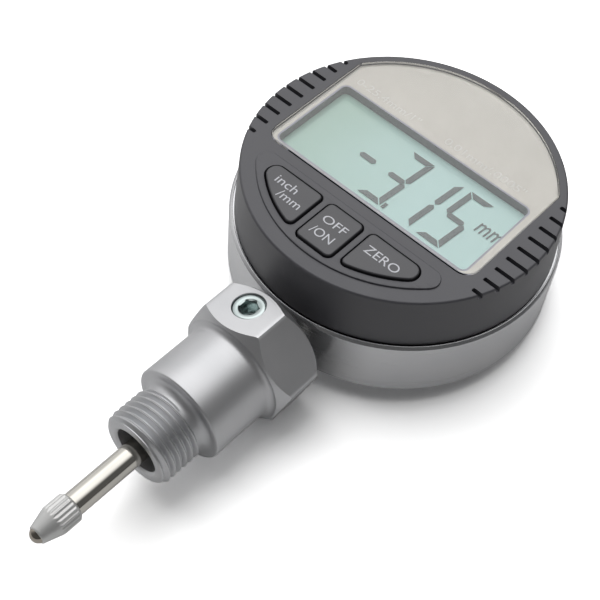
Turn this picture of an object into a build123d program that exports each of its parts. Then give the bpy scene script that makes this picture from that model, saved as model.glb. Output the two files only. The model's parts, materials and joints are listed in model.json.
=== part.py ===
from build123d import *
from math import cos, radians, sin
import os

# Digital indicator with a round metal case, a turning display head and a screw-in adapter.
# Millimetres. The origin is the centre of the case's flat back, +Z is the way the display
# faces, +Y is up on the display and the stem points down it, along -Y.
os.makedirs("parts", exist_ok=True)

# Case: a turned cup, open at the back, with a deck and a hub in front
case_radius = 30.0
case_wall = 2.4
case_bevel = 0.5
case_foot_bevel = 0.3
rim_width = 0.65
rim_height = 0.4
deck_thickness = 1.6
hub_radius = 12.0
hub_wall = 2.5

# Back cover and its screws
cover_thickness = 1.6
cover_gap = 0.1
boss_radius = 2.4
boss_wall_gap = 1.0
boss_count = 4
boss_start_angle = 45
cover_screw_radius = 1.0
cover_screw_head_radius = 1.9
cover_screw_length = 6.0
screw_recess = 0.1

# Recesses of every screw: a countersink, and a cross in shares of the head's radius
countersink_angle = 90
cross_reach = 0.6
cross_width = 0.22
cross_depth = 0.27

# Display head: a moulded cap that turns on the hub
head_height = 10.8
head_foot_radius = 29.05
head_top_radius = 28.5
head_wall = 2.2
head_top_thickness = 2.4
head_edge_round = 0.45
head_foot_bevel = 0.2
washer_thickness = 0.3
washer_inner_radius = 13.0
washer_outer_radius = 21.5
base_thickness = 1.4
base_gap = 0.1
turning_gap = 0.06
ring_thickness = 0.8
ring_overlap = 2.0
ring_lift = 0.2
ring_screw_radius = 0.8
ring_screw_head_radius = 1.15
ring_screw_length = 3.6
ring_screw_count = 3
ring_screw_start_angle = 90

# Screws that hold the head's base, and the pillars they go into
upper_pillar_x = 13.0
pillar_radius = 2.4
pillar_wall_gap = 0.12
pillar_lcd_gap = 0.15
pillar_foot_radius = 1.9
head_screw_radius = 0.8
head_screw_head_radius = 1.5
head_screw_length = 5.5

# Face: lens pocket, display window, button island, buttons and grip slots
lens_margin = 1.6
lens_side_margin = 4.25
lens_island_gap = 2.25
lens_corner = 2.7
lens_shoulder_corner = 0.6
lens_pocket_depth = 1.2
lens_thickness = 1.4
lens_gap = 0.08
lens_edge_bevel = 0.15
window_side_margin = 1.75
window_foot_margin = 1.3
window_centre_x = -0.15
print_band_height = 18.05
window_corner = 1.1
window_frame_width = 1.6
window_frame_depth = 1.2
island_height = 0.3
island_margin = 2.85
island_border = 1.35
island_corner = 2.2
button_row_height = 9.75
middle_button_half_width = 4.0
middle_button_corner = 1.3
side_button_inner = 5.15
side_button_outer_height = 3.15
side_button_corner = 1.2
side_button_outer_corner = 2.0
button_gap = 0.3
button_rise = 0.35
button_edge_round = 0.3
button_flange_overlap = 0.45
button_flange_thickness = 0.8
button_flange_gap = 0.2
button_travel = 0.4
plunger_gap = 0.05
plunger_width = 4.0
plunger_length = 3.0
mat_thickness = 1.0
slot_count = 9
slot_pitch = 3.07
slot_centre_y = 0.4
slot_lens_gap = 1.5
slot_width = 0.65
slot_depth = 1.0
slot_overrun = 1.0

# Display and boards in the head
lcd_border = 1.7
lcd_thickness = 2.0
contact_strip_width = 1.0
contact_strip_inset = 0.3
contact_strip_end_gap = 4.6
contact_strip_height = 1.4
board_thickness = 1.0
board_edge_gap = 0.9
board_hole_gap = 0.1

# Stem, bushes, spindle and contact point, turned about the spindle axis
spindle_axis_z = 6.2
spindle_radius = 2.1
spindle_tail = 0.6
spindle_reach = 77.3
spindle_end_bevel = 0.3
stem_radius = 4.0
stem_wall = 1.0
stem_sink = 4.5
stem_end_bevel = 0.4
collar_radius = 5.5
collar_sink = 0.7
collar_length = 2.9
bush_length = 6.0
bush_spread = 1.0
bush_clearance = 0.03
seal_thickness = 0.8
seal_clearance = 0.05
travel = 25.4
travel_spare = 1.9
contact_radius = 2.7
contact_root_radius = 2.25
contact_root_bevel = 0.5
contact_grip_length = 3.6
contact_length = 7.2
contact_tip_radius = 1.62
contact_ball_radius = 1.5
contact_ball_show = 1.0
contact_stud_radius = 1.2
contact_stud_length = 4.0
contact_stud_clearance = 0.05
contact_stud_spare = 1.0

# Adapter: a hexagon, a plain barrel and a threaded nose, clamped on the stem
hexagon_across_flats = 21.2
hexagon_turn = 11.4
hexagon_length = 10.0
hexagon_face_inset = 0.3
barrel_radius = 9.0
barrel_cover = 4.5
barrel_least_length = 4.0
barrel_bevel = 0.25
barrel_root_round = 1.2
nose_radius = 7.0
nose_length = 9.7
nose_root_depth = 0.75
nose_lead_bevel = 0.8
relief_round = 1.6
relief_run_out = 0.5
nose_bore_radius = 4.35
nose_bore_bevel = 0.35
stem_bore_clearance = 0.03
stem_bore_spare = 0.6
set_screw_radius = 3.0
set_screw_gap = 0.05
set_screw_length = 6.0
set_screw_back = 4.0
set_screw_bevel = 0.5
set_screw_socket = 3.0
set_screw_socket_depth = 2.8

# Measuring gear behind the deck
carrier_thickness = 3.4
carrier_end = -0.2
carrier_half_width = 4.0
carrier_foot_depth = 2.7
carrier_ear_half_height = 1.8
guide_pin_x = 7.5
guide_pin_drop = 0.6
guide_pin_radius = 1.0
guide_pin_clearance = 0.06
guide_pin_seat = 1.4
guide_ear_wall = 0.9
ribbon_ear_wall = 0.5
tongue_gap = 0.02
tongue_thickness = 0.38
tongue_length = 21.8
tongue_half_width = 4.5
scale_thickness = 0.6
scale_air_gap = 0.2
sensor_board_half_width = 10.0
sensor_board_front = -10.0
sensor_board_back = 12.5
sensor_screw_x = 8.4
sensor_screw_y = 11.0
sensor_screw_radius = 0.8
sensor_screw_head_radius = 1.3
sensor_screw_head_height = 0.7
sensor_screw_length = 2.0
chip_width = 5.0
chip_height = 1.0
ribbon_width = 3.6
ribbon_thickness = 0.2
ribbon_turn_gap = 0.1
ribbon_half_turns = 6
ribbon_line_x = -8.3
ribbon_coil_y = -12.0
ribbon_post_radius = 2.2
ribbon_post_length = 7.6

# Battery and its holder
battery_wall_gap = 2.9
battery_y = 0.0
battery_radius = 5.8
battery_height = 5.4
battery_rim_bevel = 0.4
battery_gap = 0.1
holder_wall = 1.2
lower_contact_thickness = 0.5
upper_contact_thickness = 0.4
upper_contact_rise = 0.4
upper_contact_length = 10.0
upper_contact_width = 5.8
upper_contact_dimple_radius = 1.0

# Flat cable that winds up in the hub when the head turns
cable_height = 3.6
cable_thickness = 0.25
cable_inner_radius = 4.2
cable_turn_gap = 0.9
cable_half_turns = 4
cable_socket_width = 5.0
cable_socket_length = 2.5
cable_socket_height = 0.4
cable_socket_y = 5.0

# Levels along Z, stacked up from the spindle to the face
tongue_top = spindle_axis_z + spindle_radius + tongue_gap + tongue_thickness
scale_top = tongue_top + scale_thickness
sensor_board_bottom = scale_top + scale_air_gap
deck_bottom = sensor_board_bottom + board_thickness
deck_top = deck_bottom + deck_thickness
case_top = deck_top + rim_height
head_foot = deck_top + washer_thickness
base_top = head_foot + base_thickness
hub_top = base_top + ring_lift
ring_top = hub_top + ring_thickness
head_face = head_foot + head_height
head_ceiling = head_face - head_top_thickness
pocket_floor = head_face - lens_pocket_depth
island_face = head_face + island_height
lcd_top = head_ceiling - window_frame_depth
lcd_bottom = lcd_top - lcd_thickness
board_top = lcd_bottom - contact_strip_height
board_bottom = board_top - board_thickness
flange_top = head_ceiling - button_flange_gap
flange_bottom = flange_top - button_flange_thickness
plunger_top = flange_bottom - button_travel - plunger_gap
guide_pin_z = spindle_axis_z - guide_pin_drop

# Radii and places that follow from the sizes above
case_inner_radius = case_radius - case_wall
boss_circle = case_inner_radius - boss_wall_gap - boss_radius
battery_x = case_inner_radius - battery_wall_gap - holder_wall - battery_gap - battery_radius
rim_inner_radius = case_radius - rim_width
hub_bore = hub_radius - hub_wall
ring_screw_circle = hub_radius - hub_wall / 2
stem_reach = spindle_reach - travel - travel_spare
bushes_reach = stem_reach - seal_thickness - 2 * bush_length - bush_spread
stem_tail = min(case_radius - stem_sink, bushes_reach)
collar_seat = case_radius - collar_sink
hexagon_rear = max(case_radius, head_foot_radius) - collar_sink + collar_length
hexagon_front = hexagon_rear + hexagon_length
barrel_end = max(stem_reach + barrel_cover, hexagon_front + barrel_least_length)
nose_end = barrel_end + nose_length
carrier_front = carrier_end - carrier_thickness
ribbon_step = (ribbon_thickness + ribbon_turn_gap) / 2
ribbon_first_radius = ribbon_post_radius + ribbon_thickness / 2 + ribbon_half_turns * ribbon_step
ribbon_post_x = ribbon_line_x - ribbon_first_radius

# The head's taper, the radius that is clear inside it, and the face laid out within both
head_taper = (head_foot_radius - head_top_radius) / head_height
head_ceiling_outer = head_foot_radius - head_taper * (head_ceiling - head_foot)
head_inner_radius = head_foot_radius - head_wall
head_ceiling_radius = head_ceiling_outer - head_wall
head_clear_radius = min(head_inner_radius, head_ceiling_radius)
face_radius = min(head_top_radius, head_clear_radius + head_wall)
lens_arc_radius = face_radius - lens_margin
lens_half_width = lens_arc_radius - lens_side_margin
slot_inner_x = lens_half_width + slot_lens_gap
island_arc_radius = face_radius - island_margin
button_arc_radius = island_arc_radius - island_border
button_row_top = button_row_height - button_arc_radius
side_button_foot = side_button_outer_height - button_row_top
side_button_outer = (button_arc_radius**2 - side_button_foot**2) ** 0.5
island_top = button_row_top + island_border
lens_bottom = island_top + lens_island_gap
window_bottom = lens_bottom + window_foot_margin
window_width = 2 * (lens_half_width - window_side_margin)
window_height = lens_arc_radius - print_band_height - window_bottom
window_centre_y = window_bottom + window_height / 2
lcd_width = window_width + 2 * lcd_border
lcd_height = window_height + 2 * lcd_border
contact_strip_length = lcd_width - 2 * contact_strip_end_gap
pillar_circle = head_clear_radius - pillar_wall_gap - pillar_radius
upper_pillar_y = (pillar_circle**2 - upper_pillar_x**2) ** 0.5
lower_pillar_y = window_bottom - lcd_border - pillar_lcd_gap - pillar_radius
lower_pillar_x = (pillar_circle**2 - lower_pillar_y**2) ** 0.5
head_pillar_places = [
    (upper_pillar_x, upper_pillar_y),
    (-upper_pillar_x, upper_pillar_y),
    (lower_pillar_x, lower_pillar_y),
    (-lower_pillar_x, lower_pillar_y),
]

turning_axis = Axis((0, 0, spindle_axis_z), (0, 1, 0))
turning_plane = Plane.XY.offset(spindle_axis_z)


def cross_recess(head_radius):
    """Cut a cross into a screw's head, centred on the current locations."""
    length = 2 * cross_reach * head_radius
    width = cross_width * head_radius
    height = 2 * cross_depth * head_radius
    Box(length, width, height, mode=Mode.SUBTRACT)
    Box(width, length, height, mode=Mode.SUBTRACT)


# Case: the wall, the deck behind the head and the hub that the head turns on
with BuildPart() as rear_case:
    with BuildSketch(Plane.XZ):
        with BuildLine():
            Polyline(
                (case_inner_radius, 0),
                (case_radius - case_foot_bevel, 0),
                (case_radius, case_foot_bevel),
                (case_radius, case_top - case_bevel),
                (case_radius - case_bevel, case_top),
                (rim_inner_radius, case_top),
                (rim_inner_radius, deck_top),
                (hub_radius, deck_top),
                (hub_radius, hub_top),
                (hub_bore, hub_top),
                (hub_bore, deck_bottom),
                (case_inner_radius, deck_bottom),
                close=True,
            )
        make_face()
    revolve(axis=Axis.Z)
    # pillars that the back cover is screwed to
    with BuildSketch(Plane.XY.offset(cover_thickness)):
        with PolarLocations(boss_circle, boss_count, start_angle=boss_start_angle):
            Circle(boss_radius)
    extrude(amount=deck_bottom - cover_thickness)
    with BuildSketch(Plane.XY.offset(cover_thickness)):
        with PolarLocations(boss_circle, boss_count, start_angle=boss_start_angle):
            Circle(cover_screw_radius)
    extrude(amount=cover_screw_length - cover_thickness, mode=Mode.SUBTRACT)
    # post that the return ribbon is wound on
    with BuildSketch(Plane.XY.offset(deck_bottom)):
        with Locations((ribbon_post_x, ribbon_coil_y)):
            Circle(ribbon_post_radius)
    extrude(amount=-ribbon_post_length)
    # stem hole with a flat seat for the stem's collar
    with BuildSketch(Plane.XZ.offset(stem_tail)):
        with Locations((0, spindle_axis_z)):
            Circle(stem_radius)
    extrude(amount=case_radius - stem_tail, mode=Mode.SUBTRACT)
    with BuildSketch(Plane.XZ.offset(collar_seat)):
        with Locations((0, spindle_axis_z)):
            Circle(collar_radius)
    extrude(amount=case_radius - collar_seat, mode=Mode.SUBTRACT)
    # seats of the guide pin in both walls
    guide_pin_half = (case_inner_radius**2 - guide_pin_x**2) ** 0.5 + guide_pin_seat
    with BuildSketch(Plane.XZ):
        with Locations((guide_pin_x, guide_pin_z)):
            Circle(guide_pin_radius)
    extrude(amount=guide_pin_half, both=True, mode=Mode.SUBTRACT)
    # threaded holes for the retaining ring and the sensor board
    with BuildSketch(Plane.XY.offset(hub_top)):
        with PolarLocations(ring_screw_circle, ring_screw_count, start_angle=ring_screw_start_angle):
            Circle(ring_screw_radius)
    extrude(amount=ring_thickness - ring_screw_length, mode=Mode.SUBTRACT)
    with BuildSketch(Plane.XY.offset(deck_bottom)):
        with Locations((sensor_screw_x, sensor_screw_y), (-sensor_screw_x, sensor_screw_y)):
            Circle(sensor_screw_radius)
    extrude(amount=sensor_screw_length - board_thickness, mode=Mode.SUBTRACT)
rear_case.part.label = "rear_case"
export_step(rear_case.part, "parts/rear_case.step")

# Back cover: a flat disc let into the case, countersunk for four screws
with BuildPart() as back_cover:
    Cylinder(case_inner_radius - cover_gap, cover_thickness, align=(Align.CENTER, Align.CENTER, Align.MIN))
    with Locations(Plane(origin=(0, 0, 0), z_dir=(0, 0, -1))):
        with PolarLocations(boss_circle, boss_count, start_angle=boss_start_angle):
            CounterSinkHole(
                cover_screw_radius + cover_gap / 2,
                cover_screw_head_radius + screw_recess,
                depth=cover_thickness,
                counter_sink_angle=countersink_angle,
            )
back_cover.part.label = "back_cover"
export_step(back_cover.part, "parts/back_cover.step")

# Four countersunk screws with cross recesses, heads just under the back face
with BuildPart() as back_cover_screws:
    head_depth = cover_screw_head_radius - cover_screw_radius
    with PolarLocations(boss_circle, boss_count, start_angle=boss_start_angle):
        with Locations((0, 0, screw_recess)):
            Cone(
                cover_screw_head_radius, cover_screw_radius, head_depth,
                align=(Align.CENTER, Align.CENTER, Align.MIN),
            )
            Cylinder(
                cover_screw_radius, cover_screw_length - screw_recess,
                align=(Align.CENTER, Align.CENTER, Align.MIN),
            )
            cross_recess(cover_screw_head_radius)
back_cover_screws.part.label = "back_cover_screws"
export_step(back_cover_screws.part, "parts/back_cover_screws.step")

# Stem: the plain tube that every such gauge is clamped by, with a collar against the case
with BuildPart() as stem:
    with BuildSketch(turning_plane):
        with BuildLine():
            Polyline(
                (stem_radius - stem_wall, -stem_tail),
                (stem_radius, -stem_tail),
                (stem_radius, -collar_seat),
                (collar_radius, -collar_seat),
                (collar_radius, -hexagon_rear),
                (stem_radius, -hexagon_rear),
                (stem_radius, -stem_reach + stem_end_bevel),
                (stem_radius - stem_end_bevel, -stem_reach),
                (stem_radius - stem_wall, -stem_reach),
                close=True,
            )
        make_face()
    revolve(axis=turning_axis)
stem.part.label = "stem"
export_step(stem.part, "parts/stem.step")

# Two bronze bushes, one at each end of the stem's bore
with BuildPart() as lower_bush:
    with BuildSketch(Plane.XZ.offset(stem_reach - seal_thickness - bush_length)):
        with Locations((0, spindle_axis_z)):
            Circle(stem_radius - stem_wall)
            Circle(spindle_radius + bush_clearance, mode=Mode.SUBTRACT)
    extrude(amount=bush_length)
lower_bush.part.label = "lower_bush"
export_step(lower_bush.part, "parts/lower_bush.step")

with BuildPart() as upper_bush:
    with BuildSketch(Plane.XZ.offset(stem_tail)):
        with Locations((0, spindle_axis_z)):
            Circle(stem_radius - stem_wall)
            Circle(spindle_radius + bush_clearance, mode=Mode.SUBTRACT)
    extrude(amount=bush_length)
upper_bush.part.label = "upper_bush"
export_step(upper_bush.part, "parts/upper_bush.step")

# Felt washer that wipes the spindle at the stem's mouth
with BuildPart() as dust_seal:
    with BuildSketch(Plane.XZ.offset(stem_reach - seal_thickness)):
        with Locations((0, spindle_axis_z)):
            Circle(stem_radius - stem_wall)
            Circle(spindle_radius + seal_clearance, mode=Mode.SUBTRACT)
    extrude(amount=seal_thickness)
dust_seal.part.label = "dust_seal"
export_step(dust_seal.part, "parts/dust_seal.step")

# Spindle: a hardened rod, tapped at the outer end for the contact point
tapped_radius = contact_stud_radius + contact_stud_clearance
tapped_end = -spindle_reach + contact_stud_length + contact_stud_spare
with BuildPart() as spindle:
    with BuildSketch(turning_plane):
        with BuildLine():
            Polyline(
                (0, spindle_tail),
                (spindle_radius - spindle_end_bevel, spindle_tail),
                (spindle_radius, spindle_tail - spindle_end_bevel),
                (spindle_radius, -spindle_reach),
                (tapped_radius, -spindle_reach),
                (tapped_radius, tapped_end),
                (0, tapped_end),
                close=True,
            )
        make_face()
    revolve(axis=turning_axis)
spindle.part.label = "spindle"
export_step(spindle.part, "parts/spindle.step")

# Contact point: a grip band, a cone and a ball seat, on a stud that screws into the spindle
contact_end = spindle_reach + contact_length
ball_centre = contact_end + contact_ball_show - contact_ball_radius
with BuildPart() as contact_point:
    with BuildSketch(turning_plane):
        with BuildLine():
            Polyline(
                (0, -spindle_reach + contact_stud_length),
                (contact_stud_radius, -spindle_reach + contact_stud_length),
                (contact_stud_radius, -spindle_reach),
                (contact_root_radius, -spindle_reach),
                (contact_radius, -spindle_reach - contact_root_bevel),
                (contact_radius, -spindle_reach - contact_grip_length),
                (contact_tip_radius, -contact_end),
                (0, -contact_end),
                close=True,
            )
        make_face()
    revolve(axis=turning_axis)
    with Locations((0, -ball_centre, spindle_axis_z)):
        Sphere(contact_ball_radius, mode=Mode.SUBTRACT)
contact_point.part.label = "contact_point"
export_step(contact_point.part, "parts/contact_point.step")

# Hard ball set in the contact point
with BuildPart() as contact_ball:
    with Locations((0, -ball_centre, spindle_axis_z)):
        Sphere(contact_ball_radius)
contact_ball.part.label = "contact_ball"
export_step(contact_ball.part, "parts/contact_ball.step")

# Adapter: hexagon with turned bevels, then the barrel, the relief and the nose
hexagon_corner = hexagon_across_flats / 2 / cos(radians(30))
hexagon_bevel_radius = hexagon_across_flats / 2 - hexagon_face_inset
hexagon_bevel = hexagon_corner - hexagon_bevel_radius
nose_root_radius = nose_radius - nose_root_depth
relief_end = barrel_end + relief_round
screw_angle = radians(90 + hexagon_turn)
screw_direction = (cos(screw_angle), 0, sin(screw_angle))
screw_y = -hexagon_rear - set_screw_back
with BuildPart() as adapter:
    with BuildSketch(Plane.XZ.offset(hexagon_rear)):
        with Locations((0, spindle_axis_z)):
            RegularPolygon(hexagon_across_flats / 2, 6, major_radius=False, rotation=hexagon_turn)
    extrude(amount=hexagon_length)
    with BuildSketch(turning_plane):
        with BuildLine():
            Polyline(
                (0, -hexagon_rear),
                (hexagon_bevel_radius, -hexagon_rear),
                (hexagon_corner, -hexagon_rear - hexagon_bevel),
                (hexagon_corner, -hexagon_front + hexagon_bevel),
                (hexagon_bevel_radius, -hexagon_front),
                (0, -hexagon_front),
                close=True,
            )
        make_face()
    revolve(axis=turning_axis, mode=Mode.INTERSECT)
    with BuildSketch(turning_plane):
        with BuildLine():
            root = barrel_radius + barrel_root_round
            Line((0, -hexagon_front), (root, -hexagon_front))
            RadiusArc(
                (root, -hexagon_front),
                (barrel_radius, -hexagon_front - barrel_root_round),
                -barrel_root_round,
            )
            Polyline(
                (barrel_radius, -hexagon_front - barrel_root_round),
                (barrel_radius, -barrel_end + barrel_bevel),
                (barrel_radius - barrel_bevel, -barrel_end),
                (nose_root_radius + relief_round, -barrel_end),
            )
            RadiusArc(
                (nose_root_radius + relief_round, -barrel_end),
                (nose_root_radius, -relief_end),
                -relief_round,
            )
            Polyline(
                (nose_root_radius, -relief_end),
                (nose_radius, -relief_end - relief_run_out),
                (nose_radius, -nose_end + nose_lead_bevel),
                (nose_radius - nose_lead_bevel, -nose_end),
                (0, -nose_end),
                (0, -hexagon_front),
            )
        make_face()
    revolve(axis=turning_axis)
    # bore: a close fit on the stem, then wider through the nose
    with BuildSketch(turning_plane):
        with BuildLine():
            stem_bore = stem_radius + stem_bore_clearance
            stem_bore_end = stem_reach + stem_bore_spare
            Polyline(
                (0, -hexagon_rear),
                (stem_bore, -hexagon_rear),
                (stem_bore, -stem_bore_end),
                (nose_bore_radius, -stem_bore_end - (nose_bore_radius - stem_bore)),
                (nose_bore_radius, -nose_end + nose_bore_bevel),
                (nose_bore_radius + nose_bore_bevel, -nose_end),
                (0, -nose_end),
                close=True,
            )
        make_face()
    revolve(axis=turning_axis, mode=Mode.SUBTRACT)
    # clamping screw's hole, square to one flat
    with BuildSketch(Plane(origin=(0, screw_y, spindle_axis_z), z_dir=screw_direction)):
        Circle(set_screw_radius)
    extrude(amount=hexagon_corner, mode=Mode.SUBTRACT)
adapter.part.label = "adapter"
export_step(adapter.part, "parts/adapter.step")

# Set screw: its flat end presses on the stem, its hexagon socket faces out
with BuildPart() as adapter_set_screw:
    screw_axis_plane = Plane(
        origin=(0, screw_y, spindle_axis_z), x_dir=(0, -1, 0), z_dir=screw_direction
    )
    screw_plane = screw_axis_plane.offset(stem_radius)
    with BuildSketch(screw_plane):
        Circle(set_screw_radius - set_screw_gap)
    extrude(amount=set_screw_length)
    chamfer(adapter_set_screw.edges().filter_by(GeomType.CIRCLE), set_screw_bevel)
    with BuildSketch(screw_plane.offset(set_screw_length)):
        RegularPolygon(set_screw_socket / 2, 6, major_radius=False)
    extrude(amount=-set_screw_socket_depth, mode=Mode.SUBTRACT)
adapter_set_screw.part.label = "adapter_set_screw"
export_step(adapter_set_screw.part, "parts/adapter_set_screw.step")

# Carrier: clamped on the spindle, with a fork for the guide pin, an ear for the spring
# and a tongue under the scale
with BuildPart() as scale_carrier:
    carrier_plane = Plane.XZ.offset(-carrier_end)
    carrier_foot = spindle_axis_z - carrier_foot_depth
    with BuildSketch(carrier_plane):
        with Locations((0, carrier_foot)):
            Rectangle(
                2 * carrier_half_width, tongue_top - carrier_foot,
                align=(Align.CENTER, Align.MIN),
            )
        guide_ear_reach = guide_pin_x + guide_pin_radius + guide_ear_wall
        with Locations((0, guide_pin_z)):
            Rectangle(
                guide_ear_reach, 2 * carrier_ear_half_height,
                align=(Align.MIN, Align.CENTER),
            )
            Rectangle(
                ribbon_ear_wall - ribbon_line_x, 2 * carrier_ear_half_height,
                align=(Align.MAX, Align.CENTER),
            )
        with Locations((0, spindle_axis_z)):
            Circle(spindle_radius, mode=Mode.SUBTRACT)
        with Locations((guide_pin_x, guide_pin_z)):
            Circle(guide_pin_radius + guide_pin_clearance, mode=Mode.SUBTRACT)
    extrude(amount=carrier_thickness)
    with BuildSketch(carrier_plane):
        with Locations((0, tongue_top)):
            Rectangle(2 * tongue_half_width, tongue_thickness, align=(Align.CENTER, Align.MAX))
    extrude(amount=tongue_length)
scale_carrier.part.label = "scale_carrier"
export_step(scale_carrier.part, "parts/scale_carrier.step")

# Scale: a thin strip bonded along the tongue
with BuildPart() as scale_strip:
    with BuildSketch(Plane.XZ.offset(-carrier_end)):
        with Locations((0, tongue_top)):
            Rectangle(2 * tongue_half_width, scale_thickness, align=(Align.CENTER, Align.MIN))
    extrude(amount=tongue_length)
scale_strip.part.label = "scale_strip"
export_step(scale_strip.part, "parts/scale_strip.step")

# Guide pin: stops the carrier from turning, held in both walls of the case
with BuildPart() as guide_pin:
    with BuildSketch(Plane.XZ):
        with Locations((guide_pin_x, guide_pin_z)):
            Circle(guide_pin_radius)
    extrude(amount=guide_pin_half, both=True)
guide_pin.part.label = "guide_pin"
export_step(guide_pin.part, "parts/guide_pin.step")

# Return spring: a steel ribbon coiled on its post, drawing the carrier towards the stem
with BuildPart() as return_ribbon:
    with BuildSketch(Plane.XY.offset(guide_pin_z - ribbon_width / 2)):
        with BuildLine():
            Line((ribbon_line_x, carrier_front), (ribbon_line_x, ribbon_coil_y))
            for half_turn in range(ribbon_half_turns):
                coming_back = half_turn % 2
                coil_radius = ribbon_first_radius - half_turn * ribbon_step
                coil_x = ribbon_post_x - coming_back * ribbon_step
                CenterArc((coil_x, ribbon_coil_y), coil_radius, 180 * coming_back, -180)
        trace(line_width=ribbon_thickness)
    extrude(amount=ribbon_width)
return_ribbon.part.label = "return_ribbon"
export_step(return_ribbon.part, "parts/return_ribbon.step")

# Sensor board under the deck, with its chip standing in the hub's bore
with BuildPart() as sensor_board:
    with BuildSketch(Plane.XY.offset(sensor_board_bottom)):
        with Locations((0, sensor_board_front)):
            Rectangle(
                2 * sensor_board_half_width, sensor_board_back - sensor_board_front,
                align=(Align.CENTER, Align.MIN),
            )
        with Locations((sensor_screw_x, sensor_screw_y), (-sensor_screw_x, sensor_screw_y)):
            Circle(sensor_screw_radius, mode=Mode.SUBTRACT)
    extrude(amount=board_thickness)
    with BuildSketch(Plane.XY.offset(deck_bottom)):
        Rectangle(chip_width, chip_width)
    extrude(amount=chip_height)
sensor_board.part.label = "sensor_board"
export_step(sensor_board.part, "parts/sensor_board.step")

# Two screws that hold the sensor board up against the deck
with BuildPart() as sensor_board_screws:
    for screw_x in (sensor_screw_x, -sensor_screw_x):
        with Locations((screw_x, sensor_screw_y, sensor_board_bottom)):
            Cylinder(
                sensor_screw_head_radius, sensor_screw_head_height,
                align=(Align.CENTER, Align.CENTER, Align.MAX),
            )
            Cylinder(
                sensor_screw_radius, sensor_screw_length,
                align=(Align.CENTER, Align.CENTER, Align.MIN),
            )
        with Locations((screw_x, sensor_screw_y, sensor_board_bottom - sensor_screw_head_height)):
            cross_recess(sensor_screw_head_radius)
sensor_board_screws.part.label = "sensor_board_screws"
export_step(sensor_board_screws.part, "parts/sensor_board_screws.step")

# Button cell and the moulded pocket that holds it between the cover and the deck
battery_foot = cover_thickness + lower_contact_thickness
battery_head = battery_foot + battery_height
with BuildPart() as battery:
    with BuildSketch(Plane.XY.offset(battery_foot)):
        with Locations((battery_x, battery_y)):
            Circle(battery_radius)
    extrude(amount=battery_height)
    chamfer(battery.edges().filter_by(GeomType.CIRCLE), battery_rim_bevel)
battery.part.label = "battery"
export_step(battery.part, "parts/battery.step")

with BuildPart() as battery_holder:
    with BuildSketch(Plane.XY.offset(cover_thickness)):
        with Locations((battery_x, battery_y)):
            Circle(battery_radius + battery_gap + holder_wall)
    extrude(amount=deck_bottom - cover_thickness)
    with BuildSketch(Plane.XY.offset(cover_thickness)):
        with Locations((battery_x, battery_y)):
            Circle(battery_radius + battery_gap)
    pocket_depth = battery_head + upper_contact_rise + upper_contact_thickness - cover_thickness
    extrude(amount=pocket_depth, mode=Mode.SUBTRACT)
battery_holder.part.label = "battery_holder"
export_step(battery_holder.part, "parts/battery_holder.step")

# Contact leaves: a flat one on the cover, and one in the holder with a raised dimple
with BuildPart() as lower_battery_contact:
    with BuildSketch(Plane.XY.offset(cover_thickness)):
        with Locations((battery_x, battery_y)):
            Circle(battery_radius - battery_rim_bevel)
    extrude(amount=lower_contact_thickness)
lower_battery_contact.part.label = "lower_battery_contact"
export_step(lower_battery_contact.part, "parts/lower_battery_contact.step")

with BuildPart() as upper_battery_contact:
    with BuildSketch(Plane.XY.offset(battery_head + upper_contact_rise)):
        with Locations((battery_x, battery_y)):
            Rectangle(upper_contact_length, upper_contact_width)
    extrude(amount=upper_contact_thickness)
    with BuildSketch(Plane.XY.offset(battery_head)):
        with Locations((battery_x, battery_y)):
            Circle(upper_contact_dimple_radius)
    extrude(amount=upper_contact_rise)
upper_battery_contact.part.label = "upper_battery_contact"
export_step(upper_battery_contact.part, "parts/upper_battery_contact.step")

# Flat cable, wound on edge in the hub's bore so that the head can turn
with BuildPart() as flat_cable:
    with BuildSketch(Plane.XY.offset(deck_bottom)):
        with BuildLine():
            for half_turn in range(cable_half_turns):
                coming_back = half_turn % 2
                turn_radius = cable_inner_radius + half_turn * cable_turn_gap / 2
                turn_x = coming_back * cable_turn_gap / 2
                CenterArc((turn_x, 0), turn_radius, 180 * coming_back, 180)
        trace(line_width=cable_thickness)
    extrude(amount=cable_height)
flat_cable.part.label = "flat_cable"
export_step(flat_cable.part, "parts/flat_cable.step")

# Friction washer between the deck and the head
with BuildPart() as friction_washer:
    with BuildSketch(Plane.XY.offset(deck_top)):
        Circle(washer_outer_radius)
        Circle(washer_inner_radius, mode=Mode.SUBTRACT)
    extrude(amount=washer_thickness)
friction_washer.part.label = "friction_washer"
export_step(friction_washer.part, "parts/friction_washer.step")

# Retaining ring on the hub: it keeps the head's base down and lets it turn
with BuildPart() as retaining_ring:
    with BuildSketch(Plane.XY.offset(hub_top)):
        Circle(hub_radius + ring_overlap)
        Circle(hub_bore, mode=Mode.SUBTRACT)
    extrude(amount=ring_thickness)
    with Locations((0, 0, ring_top)):
        with PolarLocations(ring_screw_circle, ring_screw_count, start_angle=ring_screw_start_angle):
            CounterSinkHole(
                ring_screw_radius,
                ring_screw_head_radius,
                depth=ring_thickness,
                counter_sink_angle=countersink_angle,
            )
retaining_ring.part.label = "retaining_ring"
export_step(retaining_ring.part, "parts/retaining_ring.step")

with BuildPart() as retaining_ring_screws:
    with PolarLocations(ring_screw_circle, ring_screw_count, start_angle=ring_screw_start_angle):
        with Locations((0, 0, ring_top)):
            Cone(
                ring_screw_radius, ring_screw_head_radius, ring_screw_head_radius - ring_screw_radius,
                align=(Align.CENTER, Align.CENTER, Align.MAX),
            )
            Cylinder(
                ring_screw_radius, ring_screw_length,
                align=(Align.CENTER, Align.CENTER, Align.MAX),
            )
            cross_recess(ring_screw_head_radius)
retaining_ring_screws.part.label = "retaining_ring_screws"
export_step(retaining_ring_screws.part, "parts/retaining_ring_screws.step")


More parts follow.
